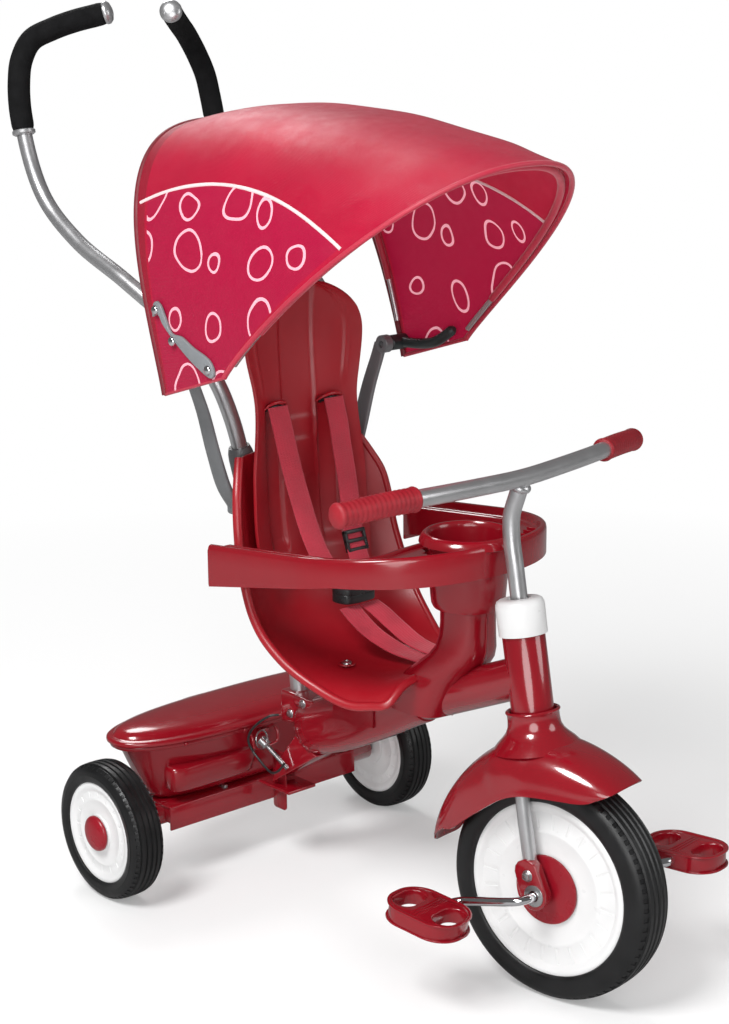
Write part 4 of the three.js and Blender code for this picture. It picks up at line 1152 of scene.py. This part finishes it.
# %% Push tubes, foam grips and end caps
PUSH = [(80, 59, 484), (80, 66, 530), (78, 80, 586), (68, 98, 638), (22, 118, 694),
        (-50, 134, 740), (-140, 142, 782), (-205, 145, 832), (-238, 147, 905),
        (-252, 142, 968), (-258, 122, 1012), (-232, 86, 1034), (-200, 54, 1046)]
for side, s in SIDES:
    line = spline([(x, s * y, z) for x, y, z in PUSH], 140)
    finished(tube(line, 9.5, 32), f"push_tube_silver_{side}", silver_paint, "frame",
             stands_for=[f"push_tube_{side}"])
    start = next(k for k, p in enumerate(line) if p.z > 905)
    grip_line = spline([line[k] for k in range(start, 140, 5)]
                       + [Vector((-196, s * 50, 1047.4))], 60)
    size = [12.4, 13.4] + [13.8] * 56 + [13.4, 12.4]
    foam = tube(grip_line, size, 40)
    grip = finished(foam, f"foam_sleeve_{side}", dark_foam, "frame",
                    stands_for=[f"foam_grip_{side}"])
    ahead = (grip_line[0] - grip_line[1]).normalized()
    ring = tube([grip_line[0] + ahead * k for k in (0.5, 1.5, 5, 6.5)],
                [13.2, 14.2, 14.2, 12], 40)
    tip = grip_line[-1]
    ahead = (tip - grip_line[-3]).normalized()
    cap = tube([tip + ahead * k for k in (-0.4, 1, 4, 7.5, 9.5)],
               [13.8, 14.4, 14.2, 11, 5], 40)
    finished(joined(ring, cap), f"grip_caps_{side}", silver_paint, "frame")
print("handle is done")

# %% [markdown]
# ## Canopy
# The canopy is a sewn cloth stretched over two wire bows.  It tilts about
# the tops of the stays, so all of it rides on one body.  The cloth is
# one bent skin whose UV map follows the seams, and the printed side panels,
# the hem and the rear strip, darkened as painted shade, are painted by the finish along that map.

# %% The printed cloth
RIDGE = [Vector((x, 0, z)) for x, z in (
    (-15, 925), (89, 944), (236, 941), (400, 918), (485, 900))]
REAR_FOOT, FRONT_FOOT = Vector((90, 183, 630)), Vector((201, 183, 664))


def canopy_point(u, v, inset=0.0):
    foot, top = REAR_FOOT.lerp(FRONT_FOOT, v), curve_at(RIDGE, v)
    power = 3.3 - v
    angle = (1 - min(1, abs(u))) * math.pi / 2
    rise, out = math.sin(angle) ** (2 / power), math.cos(angle) ** (2 / power)
    return Vector((foot.x + (top.x - foot.x) * rise ** 1.1,
                   math.copysign((183 - inset) * out, u),
                   foot.z + (top.z - foot.z) * rise - inset * rise))


SEAM_TOP, SEAM_BEND, SEAM_X = 868, 0.0014, 170


def piping_height(x):
    """How high the seam between the side panel and the top is at x."""
    return SEAM_TOP - SEAM_BEND * (x - SEAM_X) ** 2


def canopy_surface(u, v):
    wave = 0.9 * math.sin(26 * v + 5 * u) * math.exp(-((abs(u) - 0.35) / 0.3) ** 2)
    p = canopy_point(u, v)
    return p + Vector((0, 0, wave * (1 - abs(2 * v - 1) ** 4)))


CLOTH_ACROSS, CLOTH_ALONG = 220, 120
cloth = bmesh.new()
bmesh.ops.create_grid(cloth, x_segments=CLOTH_ACROSS, y_segments=CLOTH_ALONG, size=1)
uv_layer = cloth.loops.layers.uv.verify()
arch = [canopy_point(-1 + 2 * k / 2000, 0.5) for k in range(2001)]
arch_run = [0.0]
for p, q in zip(arch, arch[1:]):
    arch_run.append(arch_run[-1] + (q - p).length)


def even_u(share):
    """The u whose place along the middle arch is this share of its length."""
    goal = arch_run[-1] * share
    low, high = 0, 2000
    while high - low > 1:
        k = (low + high) // 2
        low, high = (k, high) if arch_run[k] < goal else (low, k)
    part = (goal - arch_run[low]) / max(arch_run[high] - arch_run[low], 1e-9)
    return -1 + 2 * (low + part) / 2000


spread = {}
for vert in cloth.verts:
    key = round(vert.co.x, 5)
    if key not in spread:
        spread[key] = even_u((vert.co.x + 1) / 2)
for face in cloth.faces:
    for loop in face.loops:
        loop[uv_layer].uv = (loop.vert.co.x / 2 + 0.5, loop.vert.co.y / 2 + 0.5)
for vert in cloth.verts:
    vert.co = canopy_surface(spread[round(vert.co.x, 5)], (vert.co.y + 1) / 2)
bmesh.ops.recalc_face_normals(cloth, faces=cloth.faces)
bmesh.ops.solidify(cloth, geom=cloth.faces[:], thickness=2.2)


def printed_cloth():
    """Crimson woven cloth with magenta printed side panels and a rear strip darkened as painted
    shade.
    """
    material = woven("printed_cloth", (0.34, 0.003, 0.026), 0.42, (1100, 620), 0.0003, 7,
                     Sheen_Weight=0.08, Sheen_Roughness=0.35, Specular_IOR_Level=0.25)
    tree = material.node_tree
    shader = tree.nodes["Principled BSDF"]
    base = shader.inputs["Base Color"].links[0].from_socket
    coordinates = node_of(tree, "TexCoord")
    place = coordinates.outputs["Object"]
    split = node_of(tree, "SeparateXYZ", place)
    along = node_of(tree, "SeparateXYZ", node_of(tree, "UVMap").outputs["UV"]).outputs["Y"]

    def maths(operation, a, b=0.0):
        return node_of(tree, "Math", a, b, operation=operation).outputs["Value"]

    # The print is one layer of circles, one in each cell and of many sizes, in the
    # side panels' own plane.
    warp = node_of(tree, "TexNoise", Vector=place, Scale=9)
    shifted = node_of(tree, "VectorMath", warp.outputs["Color"], (0.05, 0.0, 0.05), place,
                      operation="MULTIPLY_ADD")
    apart = node_of(tree, "SeparateXYZ", shifted.outputs["Vector"])
    flat = node_of(tree, "CombineXYZ", apart.outputs["X"], apart.outputs["Z"])
    cells = node_of(tree, "TexVoronoi", Vector=flat.outputs["Vector"], Scale=15,
                    Randomness=0.55)
    cells.voronoi_dimensions = "2D"
    chance = node_of(tree, "SeparateXYZ", cells.outputs["Color"])
    size = maths("ADD", maths("MULTIPLY", chance.outputs["X"], 0.26), 0.11)
    rings = maths("LESS_THAN", maths("ABSOLUTE", maths(
        "SUBTRACT", cells.outputs["Distance"], size)), 0.024)
    x_mm, z_mm = (maths("DIVIDE", split.outputs[axis], MM) for axis in "XZ")
    x_own = maths("SUBTRACT", x_mm, ground_point.x / MM)
    off = maths("SUBTRACT", x_own, SEAM_X)
    seam = maths("SUBTRACT", SEAM_TOP + ground_point.z / MM,
                 maths("MULTIPLY", SEAM_BEND, maths("MULTIPLY", off, off)))
    below = maths("LESS_THAN", z_mm, seam)
    wide = maths("GREATER_THAN", maths("ABSOLUTE",
                                       maths("SUBTRACT", split.outputs["Y"],
                                             ground_point.y)), 0.12)
    panel = maths("MULTIPLY", below, wide)
    front = maths("LESS_THAN", along, 0.95)
    rear = maths("GREATER_THAN", along, 0.075)
    panel = maths("MULTIPLY", panel, maths("MULTIPLY", front, rear))

    def mixed(factor, a, b):
        node = tree.nodes.new("ShaderNodeMix")
        node.data_type = "RGBA"
        tree.links.new(factor, node.inputs["Factor"])
        for socket, value in ((node.inputs["A"], a), (node.inputs["B"], b)):
            if isinstance(value, tuple):
                socket.default_value = value
            else:
                tree.links.new(value, socket)
        return node.outputs["Result"]

    print_colour = mixed(rings, (0.32, 0.003, 0.034, 1), (0.80, 0.38, 0.45, 1))
    panelled = mixed(panel, base, print_colour)
    # Painted shade: the rear strip of the cloth, behind the rear bow, is given a darker colour.
    edge = maths("LESS_THAN", along, 0.06)
    cloth_colour = mixed(edge, panelled, (0.24, 0.006, 0.02, 1))
    tree.links.new(cloth_colour, shader.inputs["Base Color"])
    # Daylight comes through thin cloth, so it glows a little, and more on the inner
    # side, whose normal points back to the middle of the canopy.
    tree.links.new(cloth_colour, shader.inputs["Emission Color"])
    from_middle = node_of(tree, "VectorMath", place, layout @ Vector((220, 0, 600)),
                          operation="SUBTRACT")
    facing = node_of(tree, "VectorMath", from_middle.outputs["Vector"],
                     coordinates.outputs["Normal"], operation="DOT_PRODUCT")
    inner = maths("LESS_THAN", facing.outputs["Value"], 0.0)
    tree.links.new(maths("ADD", maths("MULTIPLY", inner, 0.34), 0.06),
                   shader.inputs["Emission Strength"])
    return material


canopy_finish = printed_cloth()
sewn = finished(cloth, "canopy_sewn_cloth", canopy_finish, "canopy",
                stands_for=["canopy_cloth"], soft_angle=60)

# %% Hems, piping and back sleeve
hem_finish = woven("hem_cloth", (0.40, 0.014, 0.04), 0.5, (300, 12), 0.0003,
                   Sheen_Weight=0.3, Sheen_Roughness=0.4)
hems = []
for v, size in ((0.9975, 3.0), (0.955, 1.1)):
    line = [canopy_point(even_u(k / 120), v) + Vector((0, 0, 0.6)) for k in range(121)]
    hems.append(tube(line, size, 12))
for s in (1, -1):
    hems.append(tube([canopy_point(s, v / 40) + Vector((0, 0, 1)) for v in range(41)],
                     2.4, 12))
piece = finished(joined(*hems), "canopy_hems", hem_finish, "canopy",
                 soft_angle=60)
sleeve = [canopy_point(even_u(k / 120), 0.004) for k in range(121)]
sleeve_finish = woven("sleeve_cloth", (0.15, 0.006, 0.014), 0.6, (300, 12), 0.0003)
sleeve_piece = finished(tube(sleeve, 4.2, 16), "canopy_sleeve", sleeve_finish, "canopy",
                        soft_angle=60)
piping_finish = woven("piping_cloth", (0.72, 0.55, 0.56), 0.5, (300, 10), 0.0003)


def seam_point(x, s):
    """Where the seam at x lies on the cloth, by bisection on both of its grid shares."""
    goal = piping_height(x)
    v = 0.5
    for _ in range(6):
        low, high = 0.0, 1.0
        for _ in range(24):
            u = (low + high) / 2
            if canopy_point(u, v).z > goal:
                low = u
            else:
                high = u
        side_low, side_high = 0.0, 1.0
        for _ in range(24):
            middle = (side_low + side_high) / 2
            if canopy_point(u, middle).x < x:
                side_low = middle
            else:
                side_high = middle
        v = (side_low + side_high) / 2
    return canopy_point(s * u, v)


pipes = []
for s in (1, -1):
    line = [seam_point(x, s) for x in range(28, 372, 8)]
    pipes.append(tube(spline([p + Vector((0, s * 0.8, 0.8)) for p in line], 90), 2.4, 14))
piping_piece = finished(joined(*pipes), "canopy_piping", piping_finish, "canopy",
                        soft_angle=60)
flat_length = length_of([curve_at(RIDGE, k / 60) for k in range(61)]) * MM

# %% Bows, arms, outer plates and their bolts
bow_parts, bow_sleeves = [], []
for v, low in ((0.06, 28), (0.95, 14)):
    line = []
    for k in range(141):
        u = -1 + 2 * k / 140
        p = canopy_point(u, v, 7)
        foot = REAR_FOOT.lerp(FRONT_FOOT, v)
        if p.z > foot.z + low:
            line.append(p)
    bow_parts.append(tube(spline(line, 100), 3, 16))
    bow_sleeves.append(tube(spline(line, 100)[7:-7], 4.2, 16))
finished(joined(*bow_parts), "canopy_bows_silver", silver_paint, "canopy",
         stands_for=["canopy_bow_rear", "canopy_bow_front"])
finished(joined(*bow_sleeves), "canopy_bow_sleeves", hem_finish, "canopy",
         soft_angle=60)
for side, s in SIDES:
    bar = tube(spline([(TILT_X, s * 170, TILT_Z), (130, s * 173, 652), (158, s * 173, 658),
                       (190, s * 173, 677)], 40), [6.4] * 38 + [5.4, 3.6], 24, 1.0)
    hub = turned([(0, 151.6), (8.6, 151.6), (9.5, 152.6), (9.5, 177), (8.6, 178),
                  (5, 178.4), (4.4, 179.6), (0, 179.6)], 48)
    hub = moved(hub, shift(TILT_X, 0, TILT_Z), flipped(s))
    finished(joined(bar, hub), f"canopy_arm_dark_{side}", dark_plastic, "canopy",
             stands_for=[f"canopy_arm_{side}"])
    outline = spline([(77, 718, 0), (88, 722, 0), (96, 712, 0), (128, 688, 0),
                      (158, 671, 0), (184, 662, 0), (189, 667, 0), (188, 673, 0),
                      (180, 682, 0), (150, 693, 0), (130, 702, 0), (112, 704, 0),
                      (101, 720, 0), (92, 734, 0), (84, 737, 0), (77, 730, 0)], 72)
    outer = plate([(p.x, p.y) for p in outline[:-1]], 185.2, 189)
    outer = moved(rounded(outer, 1.1, 3, 60), flipped(s))
    finished(outer, f"side_plate_grey_{side}", grey_plastic, "canopy",
             stands_for=[f"canopy_plate_{side}"])
    bolts = []
    for x, z in ((179, 671), (114, 695), (84, 727)):
        dome = turned([(0, 188.6), (5.6, 188.6), (5.4, 190.2), (3.8, 191.8),
                       (1.6, 192.5), (0, 192.6)], 32)
        bolts.append(moved(dome, shift(x, 0, z), flipped(s)))
    finished(joined(*bolts), f"side_plate_bolts_{side}", bright_chrome, "canopy")
print("canopy is done")

# %% [markdown]
# ## Bucket and lid
# The bucket behind the seat is a rounded box with a rolled rim.  It is lofted
# ring by ring, outside first and then back down the inside, so it is hollow and
# closed.  The lid is a low dome that turns about the rear rim.  The small hump
# stands a few millimetres behind the bucket.

# %% Bucket
BUCKET_X, BUCKET_LOW, BUCKET_HIGH = -16, 102, 184


def rounded_ring(x, z, half_x, half_y, power, count=96):
    ring = []
    for k in range(count):
        c, t = squarish(k, count, 2 / power)
        ring.append(Vector((x + half_x * c, half_y * t, z)))
    return ring


def bucket_ring(z, less=0.0):
    t = max(0, z - BUCKET_LOW) / (BUCKET_HIGH - BUCKET_LOW)
    return rounded_ring(BUCKET_X, z, 33 + 21 * t ** 0.8 - less,
                        147 + 42 * t ** 0.8 - less, 2.6)


rings = [bucket_ring(102, 9), bucket_ring(102.6, 4.5), bucket_ring(105, 1.6),
         bucket_ring(109, 0.4)]
rings += [bucket_ring(z) for z in (114, 124, 136, 148, 158, 166, 172, 176)]
rings += [rounded_ring(BUCKET_X, 177.6, 57.6, 196.6, 2.4),
          rounded_ring(BUCKET_X, 178.6, 59.4, 198.4, 2.4),
          rounded_ring(BUCKET_X, 180.6, 60, 199, 2.4),
          rounded_ring(BUCKET_X, 183, 59.4, 198.4, 2.4),
          rounded_ring(BUCKET_X, 184, 57.4, 196.4, 2.4),
          rounded_ring(BUCKET_X, 184, 52.4, 187.4, 2.5)]
rings += [bucket_ring(z, 3) for z in (181, 172, 158, 142, 126, 112, 107)]
rings += [bucket_ring(105.6, 6), bucket_ring(105.2, 12)]
tub = loft(rings)
finished(tub, "bucket_moulding", tray_plastic, "frame",
         stands_for=["bucket"], soft_angle=45)

# %% Hump behind the bucket, front step and rim rivets
HUMP = [(130, 20, 30), (134, 25, 35), (150, 27, 36), (166, 26.4, 35.6), (173, 22, 32),
        (176, 15, 25)]
hump = loft([rounded_ring(-100, z, half_x, half_y, 3.4, 64)
             for z, half_x, half_y in HUMP])
step = loft([rounded_ring(22, z, half_x, half_y, 4, 64) for z, half_x, half_y in
             ((118, 12, 60), (121, 15, 63), (146, 20, 66), (150, 18, 64),
              (151.5, 14, 61))])
finished(joined(hump, moved(step, shift(-3.5, -82, 0))), "bucket_mouldings_small",
         tray_plastic, "frame")
rivets = []
for y in (-128, -44, 44, 128):
    dome = turned([(0, 2.6), (1.4, 2.4), (2.7, 1.5), (3.1, 0.4), (3.1, -1), (0, -1)], 28,
                  "X")
    reach = BUCKET_X + 59.6 * (1 - (abs(y) / 199) ** 2.4) ** (1 / 2.4)
    rivets.append(moved(dome, shift(reach, y, 180.8)))
finished(joined(*rivets), "rim_rivets", tray_plastic, "frame")
catch_line = spline([(38, 20, 168), (43, 20, 160), (44, 18, 150), (44, 6, 147),
                     (44, -6, 147), (44, -18, 150), (43, -20, 160), (38, -20, 168)], 50)
catch = joined(moved(tube(catch_line, 2, 16), shift(0, -12, 4)),
               moved(rounded(box((35, -8, 172), (41.5, 8, 178)), 1.5, 3),
                     shift(0, -12, -4)))
finished(catch, "bucket_catch", enamel_red, "frame")

# %% Lid
LID_X, LID_HALF_X, LID_HALF_Y = -16, 63, 203
LID_OUT = [(184.6, 1), (184.9, 0.2), (187, -0.4), (189.4, 0), (190.6, 1.4), (191, 3.4),
           (191.2, 7), (192, 8.6), (194.6, 10), (197, 13), (199, 18), (200.6, 25),
           (201.8, 34), (202.6, 46)]
LID_IN = [(199.6, 46), (198.4, 34), (196.2, 24), (193.4, 16.6), (190.4, 13.4),
          (188.2, 11.6), (187.6, 7), (186.6, 4.2), (184.6, 3.6)]
lid_rings = [rounded_ring(LID_X, z, LID_HALF_X - less, LID_HALF_Y - less, 2.4)
             for z, less in LID_OUT]
lid_bm = loft(lid_rings, capped=False)
loop = [e for e in lid_bm.edges if e.is_boundary
        and all(v.co.z > LID_OUT[-1][0] - 0.1 for v in e.verts)]
bmesh.ops.holes_fill(lid_bm, edges=loop, sides=0)
inner_rings = [rounded_ring(LID_X, z, LID_HALF_X - less, LID_HALF_Y - less, 2.4)
               for z, less in LID_IN[::-1]]
inside_bm = loft(inner_rings, capped=False)
loop = [e for e in inside_bm.edges if e.is_boundary
        and all(v.co.z > LID_IN[0][0] - 0.3 for v in e.verts)]
bmesh.ops.holes_fill(inside_bm, edges=loop, sides=0)
lid_bm = joined(lid_bm, inside_bm)
rim_edges = [e for e in lid_bm.edges if e.is_boundary]
bmesh.ops.bridge_loops(lid_bm, edges=rim_edges)
lid = finished(lid_bm, "lid_moulding", tray_plastic, "lid",
               stands_for=["bucket_lid"], soft_angle=45)
beam_bracket = joined(rounded(box((-6, -3, 92), (22, 3, 101)), 1, 2),
                      rounded(box((12, -12, 84), (20, 12, 90)), 1.5, 2))
finished(moved(beam_bracket, shift(0, -60, 4)), "bucket_bracket", zinc_steel, "frame")
print("bucket is done")

# %% [markdown]
# ## Floor and light
# The tricycle stands on plain white, as for a catalogue.  One large light is
# high on the camera's left.  Weaker ones fill from the right, from the front and
# from behind.  The sky is an even white, dimmer to light and to reflections than
# to the camera, and the floor is darker in reflections, so that red stays red.

# %% Floor, sky and lights
floor_mesh = bmesh.new()
bmesh.ops.create_grid(floor_mesh, x_segments=2, y_segments=2, size=30)
mesh = bpy.data.meshes.new("floor")
floor_mesh.to_mesh(mesh)
floor_mesh.free()
floor = bpy.data.objects.new("floor", mesh)
floor.location = (0, 0, ground_point.z)
bpy.context.scene.collection.objects.link(floor)
paper = finish_of("white_paper", (0.86, 0.86, 0.86), 0.8, 0.0, 1, 0.0)
tree = paper.node_tree
reach = node_of(tree, "VectorMath", node_of(tree, "TexCoord").outputs["Object"],
                operation="LENGTH")
fade = node_of(tree, "MapRange", Value=reach.outputs["Value"], From_Min=0.5, From_Max=2.0,
               To_Min=0.22)
ray = node_of(tree, "LightPath")
only_seen = node_of(tree, "Math", fade.outputs["Result"], ray.outputs["Is Camera Ray"],
                    operation="MULTIPLY")
blended = node_of(tree, "MixShader", only_seen.outputs["Value"],
                  tree.nodes["Principled BSDF"].outputs["BSDF"],
                  node_of(tree, "Emission").outputs["Emission"])
dark_card = node_of(tree, "BsdfDiffuse", Color=(0.12, 0.12, 0.12, 1))
glossy_share = node_of(tree, "Math", ray.outputs["Is Glossy Ray"], 0.7,
                       operation="MULTIPLY")
reflected = node_of(tree, "MixShader", glossy_share.outputs["Value"],
                    blended.outputs["Shader"], dark_card.outputs["BSDF"])
tree.links.new(reflected.outputs["Shader"], tree.nodes["Material Output"].inputs["Surface"])
mesh.materials.append(paper)
world = bpy.data.worlds.new("white")
world.use_nodes = True
tree = world.node_tree
sky = tree.nodes["Background"]
sky.inputs["Color"].default_value = (1, 1, 1, 1)
ray = node_of(tree, "LightPath")
strength = node_of(tree, "MapRange", Value=ray.outputs["Is Camera Ray"], To_Min=0.42,
                   To_Max=1.0)
dimmed = node_of(tree, "Math", ray.outputs["Is Glossy Ray"], -0.3,
                 strength.outputs["Result"], operation="MULTIPLY_ADD")
tree.links.new(dimmed.outputs["Value"], sky.inputs["Strength"])
bpy.context.scene.world = world
for name, place, size, power in (("key", (700, -2100, 2900), 1.3, 96),
                                 ("fill", (2600, 1500, 1500), 1.4, 14),
                                 ("front", (1700, -1500, 900), 1.3, 17),
                                 ("rim", (-1700, 700, 2300), 1.0, 22)):
    light = bpy.data.lights.new(name, "AREA")
    light.shape = "DISK"
    light.size = size
    light.energy = power
    lamp = bpy.data.objects.new(name, light)
    lamp.location = layout @ Vector(place)
    toward = layout @ Vector((220, 0, 450)) - lamp.location
    lamp.rotation_euler = toward.to_track_quat("-Z", "Y").to_euler()
    bpy.context.scene.collection.objects.link(lamp)
bpy.context.scene.view_settings.view_transform = "Standard"
print("stage is done")
